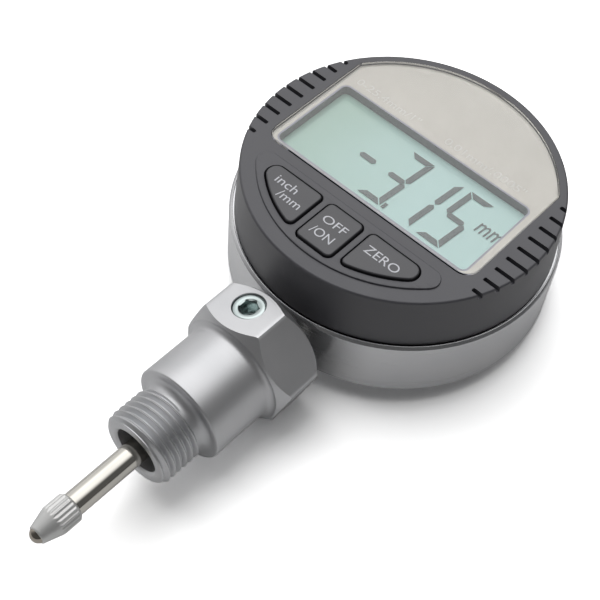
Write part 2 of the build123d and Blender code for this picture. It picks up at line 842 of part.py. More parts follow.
def lens_outline():
    """Outline of the lens pocket: straight sides and foot, and an arc round the face."""
    with BuildSketch() as outline:
        with Locations((0, lens_bottom)):
            Rectangle(2 * lens_half_width, 2 * lens_arc_radius, align=(Align.CENTER, Align.MIN))
        Circle(lens_arc_radius, mode=Mode.INTERSECT)
        fillet(outline.vertices().group_by(Axis.Y)[0], lens_corner)
        fillet(outline.vertices().group_by(Axis.Y)[-1], lens_shoulder_corner)
    return outline.sketch


def side_button_outline(side):
    """Opening of a side button: a block cut off by the arc that runs round the face."""
    with BuildSketch() as outline:
        with Locations((side * (side_button_inner + side_button_outer) / 2, button_row_top)):
            Rectangle(
                side_button_outer - side_button_inner, button_arc_radius,
                align=(Align.CENTER, Align.MAX),
            )
        Circle(button_arc_radius, mode=Mode.INTERSECT)
        corners = outline.vertices().sort_by(lambda corner: abs(corner.X))
        fillet(corners[2:], side_button_outer_corner)
        corners = outline.vertices().sort_by(lambda corner: abs(corner.X))
        fillet(corners[:2], side_button_corner)
    return outline.sketch


def middle_button_outline():
    """Opening of the middle button: an upright block with rounded corners."""
    button_foot = -button_arc_radius
    with BuildSketch() as outline:
        with Locations((0, (button_row_top + button_foot) / 2)):
            RectangleRounded(
                2 * middle_button_half_width, button_row_top - button_foot, middle_button_corner
            )
    return outline.sketch


button_openings = {
    "inch_mm_button": side_button_outline(-1),
    "on_off_button": middle_button_outline(),
    "zero_button": side_button_outline(1),
}

# Head housing: the moulded cap with its face, lens pocket, openings, slots and pillars
with BuildPart() as head_housing:
    with BuildSketch(Plane.XZ):
        with BuildLine():
            Polyline(
                (0, head_ceiling),
                (head_ceiling_radius, head_ceiling),
                (head_inner_radius, base_top),
                (head_inner_radius, head_foot),
                (head_foot_radius - head_foot_bevel, head_foot),
                (head_foot_radius, head_foot + head_foot_bevel),
                (head_top_radius, head_face),
                (0, head_face),
                close=True,
            )
        make_face()
    revolve(axis=Axis.Z)
    fillet(head_housing.edges().group_by(Axis.Z)[-1], head_edge_round)
    # raised island round the buttons
    with BuildSketch(Plane.XY.offset(head_face)) as island:
        with Locations((0, island_top)):
            Rectangle(2 * island_arc_radius, island_arc_radius, align=(Align.CENTER, Align.MAX))
        Circle(island_arc_radius, mode=Mode.INTERSECT)
        fillet(island.vertices(), island_corner)
    extrude(amount=island_height)
    # frame round the window that the display glass lies against
    with BuildSketch(Plane.XY.offset(head_ceiling)):
        with Locations((window_centre_x, window_centre_y)):
            Rectangle(window_width + 2 * window_frame_width, window_height + 2 * window_frame_width)
    extrude(amount=-window_frame_depth)
    # pillars: a wide root that the main board lies against, and a foot on the base
    with BuildSketch(Plane.XY.offset(board_top)):
        with Locations(*head_pillar_places):
            Circle(pillar_radius)
    extrude(amount=head_ceiling - board_top)
    with BuildSketch(Plane.XY.offset(base_top)):
        with Locations(*head_pillar_places):
            Circle(pillar_foot_radius)
    extrude(amount=board_top - base_top)
    with BuildSketch(Plane.XY.offset(base_top)):
        with Locations(*head_pillar_places):
            Circle(head_screw_radius)
    extrude(amount=head_foot + screw_recess + head_screw_length - base_top, mode=Mode.SUBTRACT)
    # lens pocket and window
    with BuildSketch(Plane.XY.offset(pocket_floor)):
        add(lens_outline())
    extrude(amount=lens_pocket_depth, mode=Mode.SUBTRACT)
    with BuildSketch(Plane.XY.offset(lcd_top)):
        with Locations((window_centre_x, window_centre_y)):
            RectangleRounded(window_width, window_height, window_corner)
    extrude(amount=pocket_floor - lcd_top, mode=Mode.SUBTRACT)
    # button openings
    with BuildSketch(Plane.XY.offset(head_ceiling)):
        for opening in button_openings.values():
            add(opening)
    extrude(amount=island_face - head_ceiling, mode=Mode.SUBTRACT)
    # grip slots, open at the rim
    slot_length = head_foot_radius - slot_inner_x + slot_overrun
    slot_middle = slot_inner_x + slot_length / 2
    with BuildSketch(Plane.XY.offset(head_face)):
        with Locations((0, slot_centre_y)):
            with GridLocations(2 * slot_middle, slot_pitch, 2, slot_count):
                Rectangle(slot_length, slot_width)
    extrude(amount=-slot_depth, mode=Mode.SUBTRACT)
head_housing.part.label = "head_housing"
export_step(head_housing.part, "parts/head_housing.step")

# Head base: the disc that turns on the hub and closes the head from behind
with BuildPart() as head_base:
    with BuildSketch(Plane.XY.offset(head_foot)):
        Circle(head_inner_radius - base_gap)
        Circle(hub_radius + turning_gap, mode=Mode.SUBTRACT)
    extrude(amount=base_thickness)
    with Locations(Plane(origin=(0, 0, head_foot), x_dir=(1, 0, 0), z_dir=(0, 0, -1))):
        with Locations(*[(place_x, -place_y) for place_x, place_y in head_pillar_places]):
            CounterSinkHole(
                head_screw_radius,
                head_screw_head_radius + screw_recess,
                depth=base_thickness,
                counter_sink_angle=countersink_angle,
            )
head_base.part.label = "head_base"
export_step(head_base.part, "parts/head_base.step")

# Four screws from behind, through the base into the housing's pillars
with BuildPart() as head_base_screws:
    for place_x, place_y in head_pillar_places:
        with Locations((place_x, place_y, head_foot + screw_recess)):
            Cone(
                head_screw_head_radius, head_screw_radius, head_screw_head_radius - head_screw_radius,
                align=(Align.CENTER, Align.CENTER, Align.MIN),
            )
            Cylinder(
                head_screw_radius, head_screw_length,
                align=(Align.CENTER, Align.CENTER, Align.MIN),
            )
            cross_recess(head_screw_head_radius)
head_base_screws.part.label = "head_base_screws"
export_step(head_base_screws.part, "parts/head_base_screws.step")

# Lens: clear acrylic, printed on its back, standing a little proud of the face
with BuildPart() as face_lens:
    with BuildSketch(Plane.XY.offset(pocket_floor)):
        add(lens_outline())
        offset(amount=-lens_gap, mode=Mode.REPLACE)
    extrude(amount=lens_thickness)
    chamfer(face_lens.edges().group_by(Axis.Z)[-1], lens_edge_bevel)
face_lens.part.label = "face_lens"
export_step(face_lens.part, "parts/face_lens.step")

# Liquid crystal glass behind the window
with BuildPart() as lcd_glass:
    with BuildSketch(Plane.XY.offset(lcd_bottom)):
        with Locations((window_centre_x, window_centre_y)):
            Rectangle(lcd_width, lcd_height)
    extrude(amount=lcd_thickness)
lcd_glass.part.label = "lcd_glass"
export_step(lcd_glass.part, "parts/lcd_glass.step")

# Two rubber contact strips between the display glass and the main board
strip_offset = lcd_height / 2 - contact_strip_inset - contact_strip_width / 2
with BuildPart() as upper_contact_strip:
    with BuildSketch(Plane.XY.offset(board_top)):
        with Locations((window_centre_x, window_centre_y + strip_offset)):
            Rectangle(contact_strip_length, contact_strip_width)
    extrude(amount=contact_strip_height)
upper_contact_strip.part.label = "upper_contact_strip"
export_step(upper_contact_strip.part, "parts/upper_contact_strip.step")

with BuildPart() as lower_contact_strip:
    with BuildSketch(Plane.XY.offset(board_top)):
        with Locations((window_centre_x, window_centre_y - strip_offset)):
            Rectangle(contact_strip_length, contact_strip_width)
    extrude(amount=contact_strip_height)
lower_contact_strip.part.label = "lower_contact_strip"
export_step(lower_contact_strip.part, "parts/lower_contact_strip.step")

# Main board: notched round the pillars, with a chip and the cable's socket below
with BuildPart() as main_board:
    with BuildSketch(Plane.XY.offset(board_bottom)):
        Circle(head_clear_radius - board_edge_gap)
        with Locations(*head_pillar_places):
            Circle(pillar_foot_radius + board_hole_gap, mode=Mode.SUBTRACT)
    extrude(amount=board_thickness)
    with BuildSketch(Plane.XY.offset(board_top)):
        Rectangle(chip_width, chip_width)
    extrude(amount=chip_height)
    with BuildSketch(Plane.XY.offset(board_bottom)):
        with Locations((0, cable_socket_y)):
            Rectangle(cable_socket_width, cable_socket_length)
    extrude(amount=-cable_socket_height)
main_board.part.label = "main_board"
export_step(main_board.part, "parts/main_board.step")

# Rubber key mat on the board, with a plunger under each button
side_button_middle = (side_button_inner + side_button_outer) / 2
plunger_y = (button_row_top - button_arc_radius) / 2 + plunger_length / 2
with BuildPart() as key_mat:
    with BuildSketch(Plane.XY.offset(board_top)):
        with Locations((0, button_row_top)):
            Rectangle(2 * side_button_outer, button_arc_radius, align=(Align.CENTER, Align.MAX))
        Circle(button_arc_radius, mode=Mode.INTERSECT)
    extrude(amount=mat_thickness)
    with BuildSketch(Plane.XY.offset(board_top + mat_thickness)):
        with Locations((0, plunger_y)):
            with GridLocations(side_button_middle, 1, 3, 1):
                Rectangle(plunger_width, plunger_length)
    extrude(amount=plunger_top - board_top - mat_thickness)
key_mat.part.label = "key_mat"
export_step(key_mat.part, "parts/key_mat.step")

# Buttons: a cap that fills its opening and a flange that keeps it in the housing
for button_name, opening in button_openings.items():
    with BuildPart() as button:
        with BuildSketch(Plane.XY.offset(flange_bottom)):
            add(opening)
            offset(amount=button_flange_overlap, mode=Mode.REPLACE)
        extrude(amount=button_flange_thickness)
        with BuildSketch(Plane.XY.offset(flange_top)):
            add(opening)
            offset(amount=-button_gap, mode=Mode.REPLACE)
        extrude(amount=island_face + button_rise - flange_top)
        fillet(button.edges().group_by(Axis.Z)[-1], button_edge_round)
    button.part.label = button_name
    export_step(button.part, f"parts/{button_name}.step")
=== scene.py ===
import json
import math

import bmesh
import bpy
from mathutils import Matrix, Vector
from mathutils.geometry import tessellate_polygon


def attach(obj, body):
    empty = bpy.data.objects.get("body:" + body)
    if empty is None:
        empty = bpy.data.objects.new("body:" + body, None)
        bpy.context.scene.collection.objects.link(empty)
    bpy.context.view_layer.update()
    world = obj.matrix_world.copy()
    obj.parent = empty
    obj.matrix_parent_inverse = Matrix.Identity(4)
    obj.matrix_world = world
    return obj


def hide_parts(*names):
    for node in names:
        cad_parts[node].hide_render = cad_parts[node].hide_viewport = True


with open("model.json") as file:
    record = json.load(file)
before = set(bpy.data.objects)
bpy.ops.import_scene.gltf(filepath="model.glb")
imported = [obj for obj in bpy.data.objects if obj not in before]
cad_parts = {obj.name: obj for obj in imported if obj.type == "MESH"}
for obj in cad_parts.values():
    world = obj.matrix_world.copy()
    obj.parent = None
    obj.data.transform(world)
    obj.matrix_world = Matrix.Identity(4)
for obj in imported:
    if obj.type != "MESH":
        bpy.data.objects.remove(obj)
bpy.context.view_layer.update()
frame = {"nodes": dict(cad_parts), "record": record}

# Camera
# The gauge is looked down on from the front left of its stem, at a long focal length.
# Place, direction and lens come from the outlines of the head, the case and the adapter.
camera_place = Vector((0.078773, -0.128110, 0.185300))
camera_right = Vector((0.736317, 0.673640, 0.063611))
camera_up = Vector((-0.572058, 0.569549, 0.590223))
camera_back = camera_right.cross(camera_up)
camera = bpy.data.objects.new("camera", bpy.data.cameras.new("camera"))
bpy.context.collection.objects.link(camera)
turn = Matrix((camera_right, camera_up, camera_back)).transposed()
camera.matrix_world = Matrix.Translation(camera_place) @ turn.to_4x4()
camera.data.sensor_width = 36
camera.data.lens = 76.34
camera.data.clip_start = 0.01
camera.data.clip_end = 10
bpy.context.scene.camera = camera

# Case
# A cup turned from aluminium bar and blasted satin, with a bright bevel round its front.
# Its deck and hub, on which the display head turns, are cut in the same clamping.


def corner_points(corners, closed=True, step=15):
    """Outline in mm from (x, y) or (x, y, radius) corners; a radius rounds the corner."""
    points = []
    count = len(corners)
    for i, corner in enumerate(corners):
        here = Vector(corner[:2])
        if len(corner) == 2 or (not closed and i in (0, count - 1)):
            points.append(here)
            continue
        before = (Vector(corners[i - 1][:2]) - here).normalized()
        after = (Vector(corners[(i + 1) % count][:2]) - here).normalized()
        half = before.angle(after) / 2
        centre = here + (before + after).normalized() * (corner[2] / math.sin(half))
        start = here + before * (corner[2] / math.tan(half)) - centre
        sweep = math.pi - 2 * half
        side = 1 if before.x * after.y - before.y * after.x < 0 else -1
        steps = max(2, round(math.degrees(sweep) / step))
        for k in range(steps + 1):
            points.append(centre + Matrix.Rotation(side * sweep * k / steps, 2) @ start)
    return points


def even_angles(count):
    return [2 * math.pi * k / count for k in range(count)]


def new_piece(name, build):
    """A scene object from a bmesh, with its faces turned outwards."""
    bmesh.ops.recalc_face_normals(build, faces=build.faces)
    mesh = bpy.data.meshes.new(name)
    build.to_mesh(mesh)
    build.free()
    piece = bpy.data.objects.new(name, mesh)
    bpy.context.collection.objects.link(piece)
    return piece


def turned(name, profile, axis="Z", centre=(0, 0, 0), angles=None, closed=True):
    """A turned piece: (radius, along) points in mm, spun round an axis through centre.

    The profile may be a function of the angle, for a piece that isn't round everywhere.
    """
    build = bmesh.new()
    columns = []
    poles = {}
    for angle in angles or even_angles(192):
        column = []
        for k, (radius, along) in enumerate(profile(angle) if callable(profile) else profile):
            if radius < 1e-6 and k in poles:
                column.append(poles[k])
                continue
            across, upright = radius * math.cos(angle), radius * math.sin(angle)
            place = (across, upright, along) if axis == "Z" else (across, along, upright)
            vertex = build.verts.new([(c + p) * 0.001 for c, p in zip(centre, place)])
            if radius < 1e-6:
                poles[k] = vertex
            column.append(vertex)
        columns.append(column)
    length = len(columns[0])
    for i, column in enumerate(columns):
        beside = columns[(i + 1) % len(columns)]
        for k in range(length if closed else length - 1):
            m = (k + 1) % length
            corners = [column[k], beside[k], beside[m], column[m]]
            corners = [v for j, v in enumerate(corners) if v not in corners[:j]]
            if len(corners) > 2:
                build.faces.new(corners)
    return new_piece(name, build)


def made_plain(piece):
    """Replaces a piece's mesh by what its modifiers make of it."""
    depsgraph = bpy.context.evaluated_depsgraph_get()
    mesh = bpy.data.meshes.new_from_object(piece.evaluated_get(depsgraph))
    piece.modifiers.clear()
    piece.data = mesh


def smoothed(piece, angle=32, soft_span=None):
    """Smooth shading up to an angle, with flats kept flat beside their rounded edges.

    Between the two heights along Y of soft_span no edge is left sharp.
    """
    mesh = piece.data
    for face in mesh.polygons:
        face.use_smooth = True
    mesh.set_sharp_from_angle(angle=math.radians(angle))
    if soft_span:
        for edge in mesh.edges:
            if all(soft_span[0] < mesh.vertices[v].co.y < soft_span[1] for v in edge.vertices):
                edge.use_edge_sharp = False
    weight = piece.modifiers.new("flats", "WEIGHTED_NORMAL")
    weight.weight = 100
    weight.keep_sharp = True
    made_plain(piece)


def linear(colour):
    """sRGB hex colour as linear values for a shader."""
    values = [int(colour[k : k + 2], 16) / 255 for k in (1, 3, 5)]
    return [v / 12.92 if v <= 0.04045 else ((v + 0.055) / 1.055) ** 2.4 for v in values] + [1]


def add(tree, kind, inputs=None, **settings):
    """Adds a node, with its settings, and sets or links its inputs."""
    made = tree.nodes.new(kind)
    for name, value in settings.items():
        setattr(made, name, value)
    for key, value in (inputs or {}).items():
        if isinstance(value, bpy.types.NodeSocket):
            tree.links.new(value, made.inputs[key])
        else:
            made.inputs[key].default_value = value
    return made


def new_finish(name):
    """A material with an empty node tree."""
    finish = bpy.data.materials.new(name)
    finish.use_nodes = True
    finish.node_tree.nodes.clear()
    return finish, finish.node_tree


def object_place(tree):
    """Where a point lies on its piece, so that a finish stays put on it."""
    return add(tree, "ShaderNodeTexCoord").outputs["Object"]


def noise(tree, place, scale, detail):
    inputs = {"Vector": place, "Scale": scale, "Detail": detail}
    return add(tree, "ShaderNodeTexNoise", inputs).outputs[0]


def spread(tree, value, low=0.0, high=1.0):
    """A noise's usual values, 0.3 to 0.7, spread between two others."""
    inputs = {0: value, 1: 0.3, 2: 0.7, 3: low, 4: high}
    return add(tree, "ShaderNodeMapRange", inputs).outputs[0]


def blend(tree, share, first, second):
    """A colour between two hex colours, by a share from 0 to 1."""
    inputs = {0: share, 6: linear(first), 7: linear(second)}
    return add(tree, "ShaderNodeMix", inputs, data_type="RGBA").outputs[2]


def bumped(tree, height, depth):
    """The surface's direction, with a relief of a depth in metres."""
    return add(tree, "ShaderNodeBump", {"Height": height, "Distance": depth}).outputs[0]


def show(tree, inputs):
    """Ends a finish with a surface of these inputs."""
    surface = add(tree, "ShaderNodeBsdfPrincipled", inputs)
    add(tree, "ShaderNodeOutputMaterial", {0: surface.outputs[0]})


def turned_metal(name, dark, light, axis, line, depth, rough, bare=1.0):
    """Metal with the fine rings that a lathe tool leaves round its axis.

    The axis is Z, the case's, or Y, the spindle's, 6.2 mm above the back. line is the
    rings' spacing and depth their height, in metres. bare is the share of the surface
    that mirrors; the rest is blasted or stained and scatters light.
    """
    centre, along, beside = {"Z": ((0, 0, 0), 2, 1), "Y": ((0, 0, 0.0062), 1, 2)}[axis]
    finish, tree = new_finish(name)
    place = {0: object_place(tree), 1: centre}
    place = add(tree, "ShaderNodeVectorMath", place, operation="SUBTRACT").outputs[0]
    parts = add(tree, "ShaderNodeSeparateXYZ", {0: place}).outputs
    flat = add(tree, "ShaderNodeCombineXYZ", {0: parts[0], 1: parts[beside]})
    radius = add(tree, "ShaderNodeVectorMath", {0: flat.outputs[0]}, operation="LENGTH")
    rings = {0: radius.outputs["Value"], 1: parts[along], 2: parts[0]}
    rings = add(tree, "ShaderNodeCombineXYZ", rings).outputs[0]
    rings = {0: rings, 1: (1 / line, 1 / line, 60)}
    rings = add(tree, "ShaderNodeVectorMath", rings, operation="MULTIPLY").outputs[0]
    lines = noise(tree, rings, 1, 3)
    grain = noise(tree, place, 5000, 2)
    cloud = noise(tree, place, 90, 3)
    height = add(tree, "ShaderNodeMath", {0: grain, 1: lines}, operation="ADD").outputs[0]
    show(
        tree,
        {
            "Base Color": blend(tree, spread(tree, cloud), dark, light),
            "Metallic": bare,
            "Roughness": spread(tree, lines, *rough),
            "Normal": bumped(tree, height, depth),
        },
    )
    return finish


# Blasted aluminium: even satin, its rings too fine to tell apart and drawn 0.2 mm apart
blasted_aluminium = turned_metal(
    "blasted_aluminium", "#C8C9CC", "#D2D2D3", "Z", line=0.0002, depth=0.0000012, rough=(0.22, 0.28)
)

case_outline = corner_points(
    [
        (27.6, 0, 0.1),
        (29.75, 0, 0.15),
        (30.0, 0.3, 0.15),
        (30.0, 12.0, 0.15),
        (29.5, 12.5, 0.12),
        (29.35, 12.5, 0.08),
        (29.35, 12.1),
        (12.0, 12.1),
        (12.0, 14.0, 0.1),
        (9.5, 14.0, 0.1),
        (9.5, 10.5),
        (27.6, 10.5),
    ],
    step=30,
)
case = turned("case_cup", case_outline, angles=even_angles(256))
case.data.materials.append(blasted_aluminium)
smoothed(case)
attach(case, "case")
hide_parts("rear_case")

# Back cover and its screws
# A flat turned disc let into the case's back, held by four countersunk cross-head screws
# of bright zinc-plated steel.


def new_tree(name, inputs):
    """A geometry node tree that takes a mesh, a finish and the inputs that are named."""
    tree = bpy.data.node_groups.new(name, "GeometryNodeTree")
    tree.interface.new_socket("Geometry", in_out="OUTPUT", socket_type="NodeSocketGeometry")
    for label, kind in {"Geometry": "Geometry", **inputs, "Finish": "Material"}.items():
        tree.interface.new_socket(label, in_out="INPUT", socket_type="NodeSocket" + kind)
    return tree, tree.nodes.new("NodeGroupInput").outputs


def run_tree(piece, tree, given, shape, values):
    """Ends a tree with a shape in its finish, runs it on a piece and keeps the plain mesh."""
    real = add(tree, "GeometryNodeRealizeInstances", {0: shape}).outputs[0]
    done = {"Geometry": real, "Material": given["Finish"]}
    done = add(tree, "GeometryNodeSetMaterial", done).outputs[0]
    add(tree, "NodeGroupOutput", {0: done})
    modifier = piece.modifiers.new(tree.name, "NODES")
    modifier.node_group = tree
    for item in tree.interface.items_tree:
        if item.in_out == "INPUT" and item.name in values:
            modifier[item.identifier] = values[item.name]
    made_plain(piece)


def ring_of_copies(tree, given, lean=(0, 0, 0)):
    """Copies of the tree's shape, evenly round a circle, each turned by its lean."""
    shape = add(tree, "GeometryNodeObjectInfo", {"Object": given["Shape"]})
    ring = {"Vertices": given["Count"], "Radius": given["Circle"]}
    ring = add(tree, "GeometryNodeMeshCircle", ring).outputs[0]
    spin = add(tree, "ShaderNodeCombineXYZ", {2: given["Start"]}).outputs[0]
    ring = add(tree, "GeometryNodeTransform", {0: ring, "Rotation": spin}).outputs[0]
    copies = {"Points": ring, "Instance": shape.outputs["Geometry"], "Rotation": lean}
    return add(tree, "GeometryNodeInstanceOnPoints", copies).outputs[0]


def cut_away(tree, given, cutters):
    """The tree's mesh less the cutters."""
    meshes = {"Mesh 1": given["Geometry"], "Mesh 2": cutters}
    cut = add(
        tree, "GeometryNodeMeshBoolean", meshes, operation="DIFFERENCE", solver="EXACT"
    )
    return cut.outputs[0]


cover_outline = corner_points(
    [(0, 0.02), (27.5, 0.02, 0.2), (27.5, 1.6), (0, 1.6)], closed=False, step=30
)
cover = turned("back_plate", cover_outline, angles=even_angles(256), closed=False)
countersink = turned(
    "countersink",
    [(0, -0.5), (2.05, -0.5), (2.05, 0.05), (1.06, 1.04), (1.06, 2), (0, 2)],
    angles=even_angles(48),
    closed=False,
)
ring_inputs = {"Shape": "Object", "Count": "Int", "Circle": "Float", "Start": "Float"}
screw_places = {"Count": 4, "Circle": 0.0242, "Start": math.radians(45)}
tree, given = new_tree("ring_of_holes", ring_inputs)
drilled = cut_away(tree, given, ring_of_copies(tree, given))
values = {"Shape": countersink, "Finish": blasted_aluminium, **screw_places}
run_tree(cover, tree, given, drilled, values)
bpy.data.objects.remove(countersink)
smoothed(cover)
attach(cover, "case")
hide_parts("back_cover")

# Zinc plate on steel: bright, a little cold, with fine lines from the turned head
zinc_plate = turned_metal(
    "zinc_plate", "#B9BDC0", "#D3D8D8", "Z", line=0.0003, depth=0.000001, rough=(0.16, 0.26)
)

screw_outline = corner_points(
    [
        (0, 0.1),
        (1.85, 0.1, 0.06),
        (1.9, 0.2, 0.05),
        (1.0, 1.1),
        (1.0, 5.8),
        (0.8, 6.0),
        (0, 6.0),
    ],
    closed=False,
)
screw = turned("cover_screw", screw_outline, angles=even_angles(48), closed=False)
cross = bmesh.new()
for quarter in (0, math.pi / 2):
    bar = bmesh.ops.create_cube(cross, size=0.001)["verts"]
    bmesh.ops.scale(cross, verts=bar, vec=(2.3, 0.42, 1.2))
    bmesh.ops.rotate(cross, verts=bar, matrix=Matrix.Rotation(quarter, 3, "Z"))
cross = new_piece("cross_cutter", cross)
recess = screw.modifiers.new("recess", "BOOLEAN")
recess.object = cross
recess.use_self = True
made_plain(screw)
bpy.data.objects.remove(cross)

# four of them in a ring, each with its cross turned another way
tree, given = new_tree("ring_of_screws", ring_inputs)
number = add(tree, "GeometryNodeInputIndex").outputs[0]
lean = add(tree, "ShaderNodeMath", {0: number, 1: 1.9}, operation="MULTIPLY").outputs[0]
lean = add(tree, "ShaderNodeCombineXYZ", {2: lean}).outputs[0]
four_screws = ring_of_copies(tree, given, lean)
cover_screws = bpy.data.objects.new("cover_screws", bpy.data.meshes.new("cover_screws"))
bpy.context.collection.objects.link(cover_screws)
values = {"Shape": screw, "Finish": zinc_plate, **screw_places}
run_tree(cover_screws, tree, given, four_screws, values)
bpy.data.objects.remove(screw)
smoothed(cover_screws)
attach(cover_screws, "case")
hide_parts("back_cover_screws")

# Stem
# The steel tube that gauges are clamped by, ground outside, with a collar against the
# case. Only the collar shows: the adapter covers the rest.
stem_axis = (0, 0, 6.2)
axis_height = 0.0062
ground_steel = turned_metal(
    "ground_steel", "#AFAEAC", "#C3C1BD", "Y", line=0.00015, depth=0.0000005, rough=(0.14, 0.22)
)

stem_outline = corner_points(
    [
        (3.0, -25.5),
        (4.0, -25.5),
        (4.0, -29.3),
        (5.5, -29.3),
        (5.5, -32.2, 0.2),
        (4.0, -32.2),
        (4.0, -49.6, 0.1),
        (3.6, -50.0, 0.1),
        (3.0, -50.0),
    ],
    step=30,
)
stem = turned("stem_tube", stem_outline, "Y", stem_axis, even_angles(128))
stem.data.materials.append(ground_steel)
smoothed(stem)
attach(stem, "case")
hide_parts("stem")

# Adapter
# One piece of aluminium bar: hexagon with turned bevels, plain barrel, relief and a nose
# with a cut 14 mm thread of 1.25 mm pitch. It is slipped on the stem and clamped there.
satin_aluminium = turned_metal(
    "satin_aluminium",
    "#C8C9CB",
    "#D1D1D3",
    "Y",
    line=0.00025,
    depth=0.0000008,
    rough=(0.38, 0.44),
    bare=0.82,
)

hexagon_turn = math.radians(11.4)
half_flats = 10.6
bevel_radius = 10.3
hexagon_angles = []
for side in range(6):
    for lean in (0, 0.35, 0.7, 1.1, 1.7, 2.5, 3.5):
        hexagon_angles.append(side * 60 + lean)
        if lean:
            hexagon_angles.append(side * 60 + 60 - lean)
    hexagon_angles += [side * 60 + 5 + 50 * k / 36 for k in range(37)]
hexagon_angles = [math.radians(a) + hexagon_turn for a in sorted(hexagon_angles)]

nose_start, nose_length = -56.5, 6.9
nose_rings = [nose_start - nose_length * k / 110 for k in range(111)]


def quarter_turn(steps):
    return [math.pi / 2 * k / steps for k in range(steps + 1)]


def hollow(radius, shoulder, size, steps):
    """A rounded inner corner, from a shoulder down to the radius under it."""
    return [
        (radius + size - size * math.sin(t), shoulder - size + size * math.cos(t))
        for t in quarter_turn(steps)
    ]


def adapter_outline(angle):
    """The adapter's profile at one angle: only the hexagon changes with it."""
    off_corner = (angle - hexagon_turn + math.pi / 6) % (math.pi / 3) - math.pi / 6
    flat = half_flats / math.cos(math.pi / 6 - abs(off_corner))
    # the hexagon's corners are broken by 0.11 mm
    flat -= 0.11 * math.exp(-((math.degrees(off_corner) / 1.3) ** 2))
    rise = flat - bevel_radius
    return (
        [(4.03, -32.5), (4.33, -32.2), (10.22, -32.2), (bevel_radius, -32.22)]
        + [(flat, -32.22 - rise), (flat, -42.18 + rise)]
        + [(bevel_radius, -42.18), (10.22, -42.2)]
        + hollow(9.0, -42.2, 1.2, 8)
        + [(9.0, -54.2), (8.97, -54.32), (8.88, -54.44), (8.75, -54.5)]
        + hollow(6.25, -54.5, 1.6, 10)
        + [(6.25, -56.12), (6.6, -56.35)]
        + [(7.0, y) for y in nose_rings]
        + [(6.8, -63.6), (6.6, -63.8), (6.4, -64.0), (6.24, -64.16), (6.1, -64.2)]
        + [(4.8, -64.2), (4.7, -64.17), (4.35, -63.82)]
        + [(4.35, -50.92), (4.03, -50.6)]
    )


def sum_of(kind, *values):
    """A math node's result in the tree at hand."""
    return add(tree, "ShaderNodeMath", dict(enumerate(values)), operation=kind).outputs[0]


def round_axis():
    """A point as (across, along, above, distance) from the axis, and its angle round it."""
    place = add(tree, "GeometryNodeInputPosition").outputs[0]
    across, along, upright = add(tree, "ShaderNodeSeparateXYZ", {0: place}).outputs
    upright = sum_of("SUBTRACT", upright, given["Axis Height"])
    squares = sum_of("ADD", sum_of("POWER", across, 2.0), sum_of("POWER", upright, 2.0))
    point = (across, along, upright, sum_of("SQRT", squares))
    return point, sum_of("ARCTAN2", upright, across)


def drawn_in(point, limit, chosen=True):
    """The tree's mesh, with the chosen points outside a limit radius drawn in to it."""
    across, along, upright, radius = point
    scale = sum_of("MAXIMUM", radius, 0.00001)
    scale = sum_of("DIVIDE", sum_of("MINIMUM", radius, limit), scale)
    height = sum_of("ADD", sum_of("MULTIPLY", upright, scale), given["Axis Height"])
    moved = {0: sum_of("MULTIPLY", across, scale), 1: along, 2: height}
    moved = add(tree, "ShaderNodeCombineXYZ", moved).outputs[0]
    moved = {"Geometry": given["Geometry"], "Selection": chosen, "Position": moved}
    return add(tree, "GeometryNodeSetPosition", moved).outputs[0]


adapter = turned("adapter_body", adapter_outline, "Y", stem_axis, hexagon_angles)

# the thread: every point of the nose is drawn in to a helical groove of about 60 degrees,
# which falls from a narrow crest to a narrow root between these shares of half a pitch
crest_share, root_share = 0.08, 0.84
tree, given = new_tree(
    "cut_thread",
    {
        "Axis Height": "Float",
        "Crest Radius": "Float",
        "Pitch": "Float",
        "Depth": "Float",
        "Start": "Float",
    },
)
point, angle = round_axis()
along = point[1]
turns = sum_of("DIVIDE", angle, 2 * math.pi)
turns = sum_of("ADD", sum_of("DIVIDE", along, given["Pitch"]), turns)
off_crest = sum_of("ABSOLUTE", sum_of("SUBTRACT", sum_of("FRACT", turns), 0.5))
off_crest = sum_of("MULTIPLY", off_crest, 2.0)
flank = {0: off_crest, 1: crest_share, 2: root_share, 3: 0.0, 4: 1.0}
flank = add(tree, "ShaderNodeMapRange", flank).outputs[0]
groove = sum_of("MULTIPLY", flank, given["Depth"])
groove = sum_of("SUBTRACT", given["Crest Radius"], groove)
on_nose = {0: along, 1: given["Start"]}
on_nose = add(tree, "FunctionNodeCompare", on_nose, operation="LESS_THAN").outputs[0]
run_tree(
    adapter,
    tree,
    given,
    drawn_in(point, groove, on_nose),
    {
        "Axis Height": axis_height,
        "Crest Radius": 0.007,
        "Pitch": 0.00125,
        "Depth": 0.00077,
        "Start": -0.0563,
        "Finish": satin_aluminium,
    },
)

# the clamping screw's tapped hole, square to one flat, with its edge just broken
screw_lean = math.radians(101.4)
screw_turn = Matrix(
    (
        (0, math.sin(screw_lean), math.cos(screw_lean)),
        (-1, 0, 0),
        (0, -math.cos(screw_lean), math.sin(screw_lean)),
    )
).to_4x4()
screw_seat = Matrix.Translation((0, -0.0362, axis_height)) @ screw_turn
hole = turned(
    "hole_cutter",
    [(0, 3.4), (2.8, 3.4)]
    + [(r, 3.6 + 0.5 * k) for k, r in enumerate([2.8, 3.06] * 6)]
    + [(2.93, 10.0), (2.94, 10.52), (3.0, 10.61), (3.0, 13), (0, 13)],
    angles=even_angles(72),
    closed=False,
)
hole.data.transform(screw_seat)
tapped = adapter.modifiers.new("tapped", "BOOLEAN")
tapped.object = hole
made_plain(adapter)
bpy.data.objects.remove(hole)
smoothed(adapter, 30, soft_span=(-0.0635, -0.0566))
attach(adapter, "case")
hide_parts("adapter")

# Set screw
# An M6 screw of bright zinc-plated steel with a hexagon socket, 0.2 mm below its flat.


